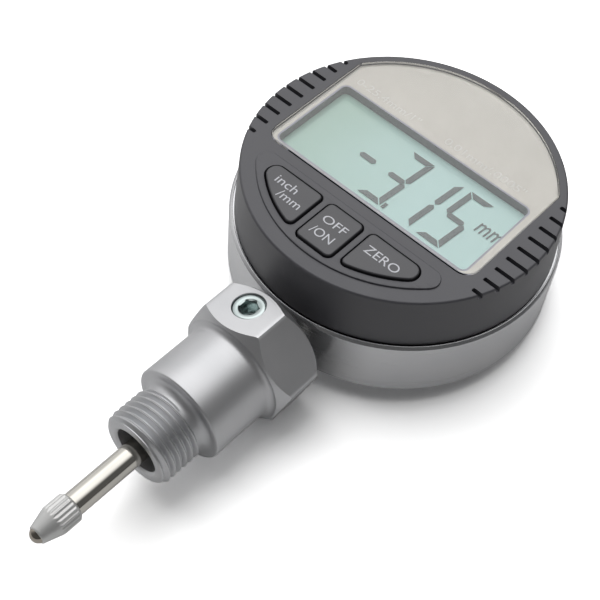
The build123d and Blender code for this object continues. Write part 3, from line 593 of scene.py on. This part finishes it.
def set_screw_outline(angle):
    """The screw's profile at one angle: only the socket changes with it."""
    off_corner = (angle + math.pi / 6) % (math.pi / 3) - math.pi / 6
    socket = 1.5 / math.cos(math.pi / 6 - abs(off_corner))
    return (
        [(0, 4.02), (2.4, 4.02), (2.9, 4.5)]
        + [(r, 4.6 + 0.5 * k) for k, r in enumerate([2.9, 2.72] * 5)]
        + [(2.9, 10.05), (2.89, 10.2), (2.78, 10.34), (2.6, 10.4)]
        + [(1.92, 10.4), (1.82, 10.35), (socket + 0.02, 10.22)]
        + [(socket, 10.12), (socket, 7.3), (0, 6.9)]
    )


set_screw = turned("clamp_screw", set_screw_outline, angles=even_angles(96), closed=False)
set_screw.data.transform(screw_seat)
bright_zinc = turned_metal(
    "bright_zinc", "#A3AEAE", "#C3CCCB", "Y", line=0.0004, depth=0.0000008, rough=(0.12, 0.2)
)
set_screw.data.materials.append(bright_zinc)
smoothed(set_screw, 35)
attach(set_screw, "case")
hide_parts("adapter_set_screw")

# Spindle
# A hardened steel rod, ground and polished, that slides in the stem's bushes.
polished_steel = turned_metal(
    "polished_steel", "#C8C5BE", "#D0CDC6", "Y", line=0.0002, depth=0.0000003, rough=(0.06, 0.10)
)
rod_outline = corner_points(
    [(0, 0.6), (2.1, 0.6, 0.2), (2.1, -77.28, 0.06), (0, -77.28)], closed=False
)
rod = turned("spindle_rod", rod_outline, "Y", stem_axis, even_angles(96), closed=False)
rod.data.materials.append(polished_steel)
smoothed(rod)
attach(rod, "spindle")
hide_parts("spindle")

# Contact point
# Satin steel, screwed into the spindle by hand: a fluted grip band that runs out into a
# plain cone, and a hard ball pressed into its end.
tip_rings = [-77.85 - 5.2 * k / 80 for k in range(81)] + [-83.3, -83.6, -83.9, -84.2, -84.4]
band_radius, band_end = 2.7, -80.9
cone_slope = (band_radius - 1.62) / 3.6


def tip_radius(along):
    return band_radius - max(0, band_end - along) * cone_slope


contact_outline = (
    [(0, -77.3), (2.15, -77.3), (2.25, -77.32), (2.62, -77.68), (2.69, -77.78)]
    + [(tip_radius(y), y) for y in tip_rings]
    + [(1.56, -84.5), (1.35, -84.5), (0, -84.5)]
)
contact = turned(
    "contact_tip", contact_outline, "Y", stem_axis, even_angles(264), closed=False
)

# the flutes: the band is drawn in by a wave round it, which the cone leaves behind
tree, given = new_tree(
    "cut_flutes", {"Axis Height": "Float", "Radius": "Float", "Depth": "Float", "Flutes": "Float"}
)
point, angle = round_axis()
wave = sum_of("COSINE", sum_of("MULTIPLY", angle, given["Flutes"]))
wave = sum_of("MULTIPLY", sum_of("SUBTRACT", 1.0, wave), 0.5)
wave = sum_of("MULTIPLY", sum_of("POWER", wave, 0.7), given["Depth"])
fluted = drawn_in(point, sum_of("SUBTRACT", given["Radius"], wave))
satin_steel = turned_metal(
    "satin_steel",
    "#DADAD9",
    "#E3E3E1",
    "Y",
    line=0.0002,
    depth=0.0000003,
    rough=(0.38, 0.44),
    bare=0.6,
)
run_tree(
    contact,
    tree,
    given,
    fluted,
    {
        "Axis Height": axis_height,
        "Radius": 0.0027,
        "Depth": 0.00017,
        "Flutes": 22.0,
        "Finish": satin_steel,
    },
)
smoothed(contact, 50)
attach(contact, "spindle")
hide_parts("contact_point")

ball_radius, ball_middle = 1.5, -84.0
ball_turns = [math.pi * k / 48 for k in range(1, 48)]
ball_outline = (
    [(0, ball_middle - ball_radius)]
    + [(ball_radius * math.sin(t), ball_middle - ball_radius * math.cos(t)) for t in ball_turns]
    + [(0, ball_middle + ball_radius)]
)
ball = turned("contact_sphere", ball_outline, "Y", stem_axis, even_angles(64), closed=False)
lapped_carbide = turned_metal(
    "lapped_carbide", "#A39C93", "#B9B1A7", "Y", line=0.0003, depth=0.0000002, rough=(0.05, 0.08)
)
ball.data.materials.append(lapped_carbide)
smoothed(ball)
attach(ball, "spindle")
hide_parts("contact_ball")

# Display head
# A cap moulded in dark ABS with a fine matt grain: pocket for the lens, window, raised
# island round three buttons, and nine grip slots a side cut through the rim.


def arc_points(radius, start, end, count, x=0.0, y=0.0):
    """Points on a circle round a centre, from one angle to another in degrees."""
    angles = [math.radians(start + (end - start) * k / count) for k in range(count + 1)]
    return [(x + radius * math.cos(a), y + radius * math.sin(a)) for a in angles]


def grown(loop, amount):
    """A counter-clockwise outline moved outwards, or inwards by a negative amount."""
    moved = []
    for i, point in enumerate(loop):
        before = (point - loop[i - 1]).normalized()
        after = (loop[(i + 1) % len(loop)] - point).normalized()
        first, second = Vector((before.y, -before.x)), Vector((after.y, -after.x))
        normal = (first + second).normalized()
        moved.append(point + normal * (amount / max(0.3, normal.dot(first))))
    return moved


def add_ring(build, loop, height):
    return [build.verts.new((p[0] * 0.001, p[1] * 0.001, height * 0.001)) for p in loop]


def add_walls(build, stack):
    """Walls through a stack of (outline, height) rings; gives the first and last ring."""
    rings = [add_ring(build, loop, height) for loop, height in stack]
    for lower, upper in zip(rings, rings[1:]):
        for i in range(len(lower)):
            k = (i + 1) % len(lower)
            build.faces.new((lower[i], lower[k], upper[k], upper[i]))
    return rings[0], rings[-1]


def add_flat(build, *rings):
    """A flat face inside the first ring, with the other rings as its holes."""
    corners = [v for ring in rings for v in ring]
    for triangle in tessellate_polygon([[v.co for v in ring] for ring in rings]):
        build.faces.new([corners[i] for i in triangle])


lens_outline = corner_points(
    [(-22.65, -10.95, 2.7), (22.65, -10.95, 2.7), (22.65, 14.51, 0.6)]
    + arc_points(26.9, 33.6, 146.4, 90)
    + [(-22.65, 14.51, 0.6)]
)
window_outline = corner_points(
    [(-21.05, -9.65, 1.1), (20.75, -9.65, 1.1), (20.75, 8.85, 1.1), (-21.05, 8.85, 1.1)]
)
window_frame = corner_points([(-22.65, -11.25), (22.35, -11.25), (22.35, 10.45), (-22.65, 10.45)])
island_outline = corner_points(
    arc_points(2.2, 90, 221, 12, -17.685, -15.4)
    + arc_points(25.65, 222.2, 317.8, 80)
    + arc_points(2.2, -41, 90, 12, 17.685, -15.4)
)
right_opening = corner_points(
    [(5.15, -14.55, 1.2), (5.15, -23.75, 1.2)]
    + arc_points(24.3, 286, 310, 24)
    + [(16.65, -17.7, 2.0), (16.65, -14.55, 2.0)]
)
left_opening = [Vector((-p.x, p.y)) for p in reversed(right_opening)]
middle_opening = corner_points(
    [(-4.0, -24.3, 1.3), (4.0, -24.3, 1.3), (4.0, -14.55, 1.3), (-4.0, -14.55, 1.3)]
)


def circle(radius, x=0.0, y=0.0, count=256):
    turns = even_angles(count)
    return [Vector((x + radius * math.cos(t), y + radius * math.sin(t))) for t in turns]


# heights above the back, in mm
face_level, island_level = 23.2, 23.5
lens_floor, roof_inside, window_back = 22.0, 20.8, 19.6

build = bmesh.new()
rim = [
    (circle(28.05 + 0.45 * math.sin(t)), 22.75 + 0.45 * math.cos(t))
    for t in reversed(quarter_turn(8))
]
inner, edge = add_walls(
    build,
    [
        (circle(26.42), roof_inside),
        (circle(26.85), 13.8),
        (circle(26.85), 12.4),
        (circle(28.85), 12.4),
        (circle(29.0), 12.45),
        (circle(29.05), 12.6),
        (circle(28.78), 17.9),
    ]
    + rim,
)
pocket_edge, pocket_floor = add_walls(
    build,
    [
        (grown(lens_outline, 0.13), face_level),
        (grown(lens_outline, 0.04), 23.16),
        (lens_outline, 23.07),
        (lens_outline, lens_floor),
    ],
)
island_foot, island_top = add_walls(
    build,
    [
        (grown(island_outline, 0.02), face_level),
        (island_outline, 23.26),
        (grown(island_outline, -0.01), 23.36),
        (grown(island_outline, -0.06), 23.45),
        (grown(island_outline, -0.16), island_level),
    ],
)
add_flat(build, edge, pocket_edge, island_foot)
window_top, window_foot = add_walls(
    build, [(window_outline, lens_floor), (window_outline, window_back)]
)
add_flat(build, pocket_floor, window_top)
frame_foot, frame_root = add_walls(
    build, [(window_frame, window_back), (window_frame, roof_inside)]
)
add_flat(build, frame_foot, window_foot)
opening_tops, opening_feet = [], []
for opening in (left_opening, middle_opening, right_opening):
    top, foot = add_walls(
        build,
        [
            (grown(opening, 0.16), island_level),
            (grown(opening, 0.05), 23.45),
            (opening, 23.32),
            (opening, roof_inside),
        ],
    )
    opening_tops.append(top)
    opening_feet.append(foot)
add_flat(build, island_top, *opening_tops)
pillar_roots = []
pillar_steps = [(2.4, roof_inside), (2.4, 16.2), (1.9, 16.2), (1.9, 13.8), (0.8, 13.8), (0.8, 18.0)]
for x, y in ((13.0, 20.06), (-13.0, 20.06), (19.44, -13.9), (-19.44, -13.9)):
    root, end = add_walls(build, [(circle(r, x, y, 32), z) for r, z in pillar_steps])
    add_flat(build, end)
    pillar_roots.append(root)
add_flat(build, inner, frame_root, *opening_feet, *pillar_roots)
head = new_piece("head_cap", build)


def plain_finish(
    name, first, second, rough, patches, more=(), grain=5000, depth=0.000002, detail=4
):
    """Two close colours in patches, evenly rough, under a fine grain.

    patches and grain are noise scales, and more gives other inputs of the surface.
    """
    finish, tree = new_finish(name)
    place = object_place(tree)
    patch = noise(tree, place, patches, detail)
    show(
        tree,
        {
            "Base Color": blend(tree, patch, first, second),
            "Roughness": spread(tree, patch, *rough),
            "Normal": bumped(tree, noise(tree, place, grain, 2), depth),
            **dict(more),
        },
    )
    return finish


# Dark ABS, moulded with a fine matt grain of about 0.1 mm that softens every reflection
abs_gloss = {"IOR": 1.54, "Specular IOR Level": 0.7}
moulded_abs = plain_finish(
    "moulded_abs", "#49494E", "#515156", (0.40, 0.47), 120, abs_gloss, grain=6000, depth=0.000004
)

# the slots: a cutter repeated along both sides and cut out by geometry nodes
slot_foot, slot_past_face = 22.2, 24.5
slot_outline = corner_points(
    [(24.15, -0.4, 0.25), (31, -0.4), (31, 0.4), (24.15, 0.4, 0.25)], step=30
)
build = bmesh.new()
low, high = add_walls(build, [(slot_outline, slot_foot), (slot_outline, slot_past_face)])
add_flat(build, low)
add_flat(build, high)
slot_cutter = new_piece("slot_cutter", build)
tree, given = new_tree(
    "grip_slots", {"Cutter": "Object", "Count": "Int", "Pitch": "Float", "Middle": "Float"}
)
shape = add(tree, "GeometryNodeObjectInfo", {"Object": given["Cutter"]}).outputs["Geometry"]
half_row = sum_of("MULTIPLY", sum_of("SUBTRACT", given["Count"], 1.0), 0.5)
start = sum_of("SUBTRACT", given["Middle"], sum_of("MULTIPLY", half_row, given["Pitch"]))
first = add(tree, "ShaderNodeCombineXYZ", {1: start}).outputs[0]
step = add(tree, "ShaderNodeCombineXYZ", {1: given["Pitch"]}).outputs[0]
row = {"Count": given["Count"], "Start Location": first, "Offset": step}
row = add(tree, "GeometryNodeMeshLine", row).outputs[0]
both = add(tree, "GeometryNodeJoinGeometry")
for half_turn in (0.0, math.pi):
    copies = {"Points": row, "Instance": shape, "Rotation": (0, 0, half_turn)}
    copies = add(tree, "GeometryNodeInstanceOnPoints", copies).outputs[0]
    tree.links.new(copies, both.inputs[0])
values = {"Cutter": slot_cutter, "Count": 9, "Pitch": 0.00307, "Middle": 0.0004}
run_tree(
    head, tree, given, cut_away(tree, given, both.outputs[0]), {**values, "Finish": moulded_abs}
)
bpy.data.objects.remove(slot_cutter)
smoothed(head, 35)
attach(head, "display_head")
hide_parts("head_housing")

# Buttons
# Three caps in the same dark ABS, smoother, each with a rounded edge and a flange that
# keeps it in the housing. Their words are printed in white.
button_abs = plain_finish(
    "button_abs", "#454549", "#4A4A4E", (0.34, 0.40), 200, abs_gloss, depth=0.0000015, detail=3
)


def printed_ink(name, colour):
    """Screen ink: matt, and a little uneven where it wets the surface under it."""
    ink, tree = new_finish(name)
    rough = spread(tree, noise(tree, object_place(tree), 2500, 2), 0.4, 0.55)
    show(tree, {"Base Color": linear(colour), "Roughness": rough})
    return ink


white_ink = printed_ink("white_ink", "#E9EAF0")


def lettering(name, words, box, height, thick=0.02, lean=0.0):
    """Printed words, fitted into a box (left, right, foot, top) at a height, in mm."""
    text = bpy.data.curves.new(name, "FONT")
    text.body = words
    text.extrude = 0.5
    text.resolution_u = 6
    holder = bpy.data.objects.new(name, text)
    bpy.context.collection.objects.link(holder)
    depsgraph = bpy.context.evaluated_depsgraph_get()
    mesh = bpy.data.meshes.new_from_object(holder.evaluated_get(depsgraph))
    bpy.data.objects.remove(holder)
    spans = [[v.co[k] for v in mesh.vertices] for k in range(3)]
    low = [min(s) for s in spans]
    size = [max(s) - min(s) for s in spans]
    left, right, foot, top = box
    for vertex in mesh.vertices:
        u, v, w = [(vertex.co[k] - low[k]) / size[k] for k in range(3)]
        x = left + u * (right - left) + lean * (v - 0.5) * (top - foot)
        vertex.co = (x * 0.001, (foot + v * (top - foot)) * 0.001, (height + w * thick) * 0.001)
    words = bpy.data.objects.new(name, mesh)
    bpy.context.collection.objects.link(words)
    return words


# each word's box is (left, right, foot, top)
button_marks = {
    "inch_mm_button": [
        ("inch", (-13.84, -9.24, -18.2, -16.4)),
        ("/mm", (-11.54, -6.64, -20.4, -18.6)),
    ],
    "on_off_button": [
        ("OFF", (-2.44, 2.46, -19.0, -17.3)),
        ("/ON", (-2.44, 2.06, -22.1, -20.3)),
    ],
    "zero_button": [("ZERO", (6.76, 13.66, -19.0, -17.2))],
}
edge_radius, edge_foot = 0.3, 23.55
ink_foot = 23.845
for node, opening in zip(button_marks, (left_opening, middle_opening, right_opening)):
    cap = grown(opening, -0.3)
    edge_steps = [
        (grown(cap, edge_radius * (math.cos(t) - 1)), edge_foot + edge_radius * math.sin(t))
        for t in quarter_turn(6)
    ]
    build = bmesh.new()
    flange = grown(opening, 0.45)
    steps = [(flange, 19.8), (flange, 20.6), (cap, 20.6)] + edge_steps
    foot, crown = add_walls(build, steps)
    add_flat(build, foot)
    add_flat(build, crown)
    button = new_piece(node + "_cap", build)
    button.data.materials.append(button_abs)
    smoothed(button, 40)
    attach(button, node)
    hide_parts(node)
    for number, (words, box) in enumerate(button_marks[node]):
        print_piece = lettering(f"{node}_words_{number}", words, box, ink_foot)
        print_piece.data.materials.append(white_ink)
        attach(print_piece, node)

# Face lens
# A sheet of clear acrylic cut to the pocket, printed on its back in satin silver with a
# pale line round the window, and set in by adhesive. Lamps pass it without being bent.
build = bmesh.new()
lens_skin = grown(lens_outline, -0.08)
foot, crown = add_walls(
    build,
    [
        (grown(lens_skin, -0.03), lens_floor),
        (lens_skin, 22.03),
        (lens_skin, 23.25),
        (grown(lens_skin, -0.05), 23.33),
        (grown(lens_skin, -0.15), 23.4),
    ],
)
add_flat(build, foot)
add_flat(build, crown)
lens = new_piece("clear_lens", build)
clear_acrylic, tree = new_finish("clear_acrylic")
tint = blend(tree, noise(tree, object_place(tree), 40, 2), "#FDFDFC", "#FAFBFA")
clear = {"Base Color": tint, "Roughness": 0.0, "IOR": 1.49, "Transmission Weight": 1.0}
clear = add(tree, "ShaderNodeBsdfPrincipled", clear)
passing = add(tree, "ShaderNodeBsdfTransparent", {0: linear("#FAFAF8")})
path = add(tree, "ShaderNodeLightPath").outputs
lamps = sum_of("MAXIMUM", path["Is Shadow Ray"], path["Is Diffuse Ray"])


def either(tree, share, first, second):
    """The first shader or the second one, by a share from 0 to 1."""
    mixed = {0: share, 1: first.outputs[0], 2: second.outputs[0]}
    return add(tree, "ShaderNodeMixShader", mixed)


mixed = either(tree, lamps, clear, passing)
add(tree, "ShaderNodeOutputMaterial", {0: mixed.outputs[0]})
lens.data.materials.append(clear_acrylic)
smoothed(lens, 40)
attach(lens, "display_head")
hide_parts("face_lens")

# Silver screen print: fine aluminium flake in a warm lacquer, satin behind the acrylic
silver_print, tree = new_finish("silver_print")
place = object_place(tree)
show(
    tree,
    {
        "Base Color": blend(tree, noise(tree, place, 30, 1), "#D6D2CB", "#DEDBD5"),
        "Metallic": 0.35,
        "Roughness": spread(tree, noise(tree, place, 300, 1), 0.42, 0.46),
    },
)
print_foot, print_top = 22.02, 22.04


def printed_sheet(name, outline, hole):
    """A layer of print behind the lens, with a hole in it."""
    build = bmesh.new()
    outer_low, outer_high = add_walls(build, [(outline, print_foot), (outline, print_top)])
    hole_low, hole_high = add_walls(build, [(hole, print_foot), (hole, print_top)])
    add_flat(build, outer_low, hole_low)
    add_flat(build, outer_high, hole_high)
    return new_piece(name, build)


line_outline = grown(window_outline, 0.35)
print_sheet = printed_sheet("silver_sheet", grown(lens_skin, -0.12), line_outline)
print_sheet.data.materials.append(silver_print)
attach(print_sheet, "display_head")
pale_line = printed_sheet("window_line", line_outline, window_outline)
pale_line.data.materials.append(printed_ink("pale_line_ink", "#B9B9C6"))
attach(pale_line, "display_head")
faint_ink = printed_ink("faint_ink", "#F6F4F0")
for name, words, box in (
    ("range_words", '0-25.4mm/1"', (-20.2, -5.7, 10.5, 12.2)),
    ("step_words", '0.01mm/.0005"', (0.3, 17.8, 10.5, 12.2)),
):
    marks = lettering(name, words, box, print_top + 0.005, 0.01)
    marks.data.materials.append(faint_ink)
    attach(marks, "display_head")

# Display
# A grey-green reflector that fills the window from behind, under a clear coat that stands
# for its glass. The figures lie a little above it, so each throws a soft shadow on it.
display_back = corner_points([(-22.75, -11.35), (22.45, -11.35), (22.45, 10.55), (-22.75, 10.55)])
in_window = grown(window_outline, -0.02)
build = bmesh.new()
foot, crown = add_walls(build, [(display_back, 17.6), (display_back, 19.5)])
raised_foot, raised_crown = add_walls(build, [(in_window, 19.5), (in_window, 20.2)])
add_flat(build, foot)
add_flat(build, crown, raised_foot)
add_flat(build, raised_crown)
reflector = new_piece("display_reflector", build)

# its green fades from the left to the middle, and drifts a little everywhere
grey_green, tree = new_finish("grey_green_reflector")
place = object_place(tree)
parts = add(tree, "ShaderNodeSeparateXYZ", {0: place}).outputs
across = add(tree, "ShaderNodeMapRange", {0: parts[0], 1: -0.021, 2: 0.004}).outputs[0]
drift = sum_of("ADD", noise(tree, place, 40, 2), -0.5)
drift = add(tree, "ShaderNodeMath", {0: drift, 1: across}, operation="ADD", use_clamp=True)
show(
    tree,
    {
        "Base Color": blend(tree, drift.outputs[0], "#B1D8CC", "#CCF2F2"),
        "Roughness": spread(tree, noise(tree, place, 200, 1), 0.4, 0.5),
        "Coat Weight": 0.6,
        "Coat Roughness": 0.03,
    },
)
reflector.data.materials.append(grey_green)
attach(reflector, "display_head")
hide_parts("lcd_glass")

# the figures' half stroke, the gap between strokes, their lean to the right, their width
# between strokes and the heights of their upper and middle strokes
stroke, gap, slope, figure_width = 0.57, 0.15, 0.09, 3.9
row_top, row_middle = 5.83, -0.57
figure_foot, figure_top = 20.3, 20.33


def segment(bar, left, right):
    """Corners of one of a figure's seven segments, between its strokes' middles."""
    bar_top = [
        (left - stroke + gap, row_top + stroke),
        (left + stroke + gap, row_top - stroke),
        (right - stroke - gap, row_top - stroke),
        (right + stroke - gap, row_top + stroke),
    ]
    bar_middle = [
        (left + gap, row_middle),
        (left + stroke, row_middle + stroke),
        (right - stroke, row_middle + stroke),
        (right - gap, row_middle),
        (right - stroke, row_middle - stroke),
        (left + stroke, row_middle - stroke),
    ]
    upright = [
        (right + stroke, row_top + stroke - gap),
        (right - stroke, row_top - stroke - gap),
        (right - stroke, row_middle + stroke + gap),
        (right, row_middle + gap),
        (right + stroke, row_middle + stroke + gap),
    ]
    mirror_x = [(left + right - x, y) for x, y in reversed(upright)]
    mirror_y = [(x, 2 * row_middle - y) for x, y in reversed(upright)]
    corners = {
        "top": bar_top,
        "middle": bar_middle,
        "foot": [(x, 2 * row_middle - y) for x, y in reversed(bar_top)],
        "upper_right": upright,
        "upper_left": mirror_x,
        "lower_right": mirror_y,
        "lower_left": [(left + right - x, y) for x, y in reversed(mirror_y)],
    }[bar]
    return [(x + slope * (y - row_middle), y) for x, y in corners]


figures = []
for places, left in (
    (("middle",), -9.44),
    (("top", "upper_right", "middle", "lower_right", "foot"), -2.89),
    (("upper_right", "lower_right"), 3.66),
    (("top", "upper_left", "middle", "lower_right", "foot"), 10.21),
):
    figures += [segment(place, left, left + figure_width) for place in places]
figures.append([(1.26, -7.57), (1.91, -7.57), (2.03, -6.27), (1.38, -6.27)])
build = bmesh.new()
for corners in figures:
    low, high = add_walls(build, [(corners, figure_foot), (corners, figure_top)])
    add_flat(build, low)
    add_flat(build, high)
reading = new_piece("display_figures", build)
unit_box = (15.86, 20.7, -0.17, 2.13)
unit = lettering("display_unit", "mm", unit_box, figure_foot, figure_top - figure_foot, slope)
dark_crystal = printed_ink("dark_crystal", "#5C6668")
for piece in (reading, unit):
    piece.data.materials.append(dark_crystal)
    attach(piece, "display_head")

# Hidden pieces
# Bushes, seal, measuring gear, boards, battery and fixings: seen only where the head or
# the nose is looked into, each in the finish of its material.
bare_metal = {"Metallic": 1.0}
inner_finishes = {
    "screw_steel": zinc_plate,
    "bright_steel": ground_steel,
    "head_plastic": moulded_abs,
}
for slot, name, first, second, rough, patches, more, depth in (
    ("spring_steel", "rolled_spring_steel", "#8F8F90", "#A2A2A3", 0.3, 300, bare_metal, 2e-6),
    ("cell_steel", "nickel_plate", "#B4B2AC", "#C4C2BD", 0.22, 200, bare_metal, 2e-6),
    ("bronze", "bored_bronze", "#A87F4C", "#BC935C", 0.35, 400, bare_metal, 2e-6),
    ("felt", "wool_felt", "#CFC9BC", "#E0DACE", 0.9, 900, {}, 3e-5),
    ("white_plastic", "white_acetal", "#E2E2DE", "#ECECE8", 0.45, 150, {}, 2e-6),
    ("carrier_plastic", "black_nylon", "#17171A", "#222226", 0.5, 200, {}, 2e-6),
    ("scale", "glass_laminate", "#3E5B46", "#4C6B52", 0.35, 250, {}, 2e-6),
    ("strip_rubber", "conductive_rubber", "#4A4A4D", "#5A5A5D", 0.7, 300, {}, 2e-6),
    ("mat_rubber", "silicone_rubber", "#8A8A8C", "#98989A", 0.6, 200, {}, 2e-6),
    ("board", "solder_mask", "#123F22", "#1B5530", 0.3, 500, {}, 2e-6),
    ("cable_film", "amber_film", "#A8682A", "#BC7B36", 0.3, 300, {}, 2e-6),
):
    uneven = (rough - 0.04, rough + 0.04)
    inner_finishes[slot] = plain_finish(name, first, second, uneven, patches, more, depth=depth)
slots = {entry["node"]: entry["material_slot"] for entry in frame["record"]["subparts"]}
for node in (
    "lower_bush",
    "upper_bush",
    "dust_seal",
    "guide_pin",
    "return_ribbon",
    "sensor_board",
    "sensor_board_screws",
    "battery",
    "battery_holder",
    "lower_battery_contact",
    "upper_battery_contact",
    "flat_cable",
    "friction_washer",
    "retaining_ring",
    "retaining_ring_screws",
    "scale_carrier",
    "scale_strip",
    "head_base",
    "head_base_screws",
    "upper_contact_strip",
    "lower_contact_strip",
    "main_board",
    "key_mat",
):
    for material_slot in frame["nodes"][node].material_slots:
        material_slot.material = inner_finishes[slots[node]]

# Floor and light
# A plain white sheet, met by the case's far rim and by the hexagon's lowest corner, under a
# broad soft sky, brightest behind and a little left of overhead. The room is white on the
# left and dark on the right and in front; the camera sees the sheet overexposed.
build = bmesh.new()
slant = math.tan(math.radians(4.85))
far_rim = 0.0297
for x, y in ((-3, -3), (3, -3), (3, 3), (-3, 3)):
    build.verts.new((x, y, -slant * (far_rim - y)))
build.faces.new(build.verts)
floor = new_piece("floor", build)
white_sheet, tree = new_finish("white_sheet")
path = add(tree, "ShaderNodeLightPath").outputs
paper = add(tree, "ShaderNodeBsdfDiffuse", {0: linear("#F0F0F0")})
mirrored = add(tree, "ShaderNodeBsdfDiffuse", {0: (1.0, 1.0, 1.0, 1)})
overexposed = add(tree, "ShaderNodeBsdfDiffuse", {0: (2.5, 2.5, 2.5, 1)})
mixed = either(tree, path["Is Glossy Ray"], paper, mirrored)
mixed = either(tree, path["Is Camera Ray"], mixed, overexposed)
add(tree, "ShaderNodeOutputMaterial", {0: mixed.outputs[0]})
floor.data.materials.append(white_sheet)

world = bpy.data.worlds.new("studio")
bpy.context.scene.world = world
world.use_nodes = True
tree = world.node_tree
tree.nodes.clear()
path = add(tree, "ShaderNodeLightPath").outputs
direction = add(tree, "ShaderNodeTexCoord").outputs["Generated"]
parts = add(tree, "ShaderNodeSeparateXYZ", {0: direction}).outputs
brightest = Vector((-0.13, 0.42, 0.89)).normalized()
towards = add(
    tree, "ShaderNodeVectorMath", {0: direction, 1: brightest}, operation="DOT_PRODUCT"
).outputs["Value"]


def ramp(value, start, end, first, last):
    """A smooth change from one strength to another as a value of the direction grows."""
    inputs = {0: value, 1: start, 2: end, 3: first, 4: last}
    made = add(tree, "ShaderNodeMapRange", inputs, interpolation_type="SMOOTHSTEP")
    return made.outputs[0]


sky = ramp(towards, 0.66, 1.0, 0.12, 1.7)
left_wall = ramp(parts[0], -0.85, -0.15, 0.8, 0.0)
left_wall = sum_of("MULTIPLY", left_wall, ramp(parts[1], -0.8, -0.1, 0.1, 1.0))
share = sum_of("MULTIPLY_ADD", path["Is Glossy Ray"], 0.55, 0.45)
bright = sum_of("MULTIPLY", sum_of("ADD", sky, left_wall), share)
soft = add(tree, "ShaderNodeBackground", {"Color": (1, 1, 1, 1), "Strength": bright})
white = add(tree, "ShaderNodeBackground", {"Color": (1, 1, 1, 1), "Strength": 1.0})
mixed = either(tree, path["Is Camera Ray"], soft, white)
add(tree, "ShaderNodeOutputWorld", {0: mixed.outputs[0]})

# the lamp overhead gives the sheet its near, soft shadow; the metals mirror the sky alone
light = bpy.data.lights.new("overhead_lamp", "AREA")
light.shape = "SQUARE"
light.size = 0.8
light.energy = 4.1
overhead_lamp = bpy.data.objects.new("overhead_lamp", light)
bpy.context.collection.objects.link(overhead_lamp)
overhead_lamp.location = (-0.26, 0.03, 1.0)
overhead_lamp.rotation_mode = "QUATERNION"
overhead_lamp.rotation_quaternion = overhead_lamp.location.to_track_quat("Z", "Y")
overhead_lamp.visible_glossy = False

view = bpy.context.scene.view_settings
view.view_transform = "Standard"
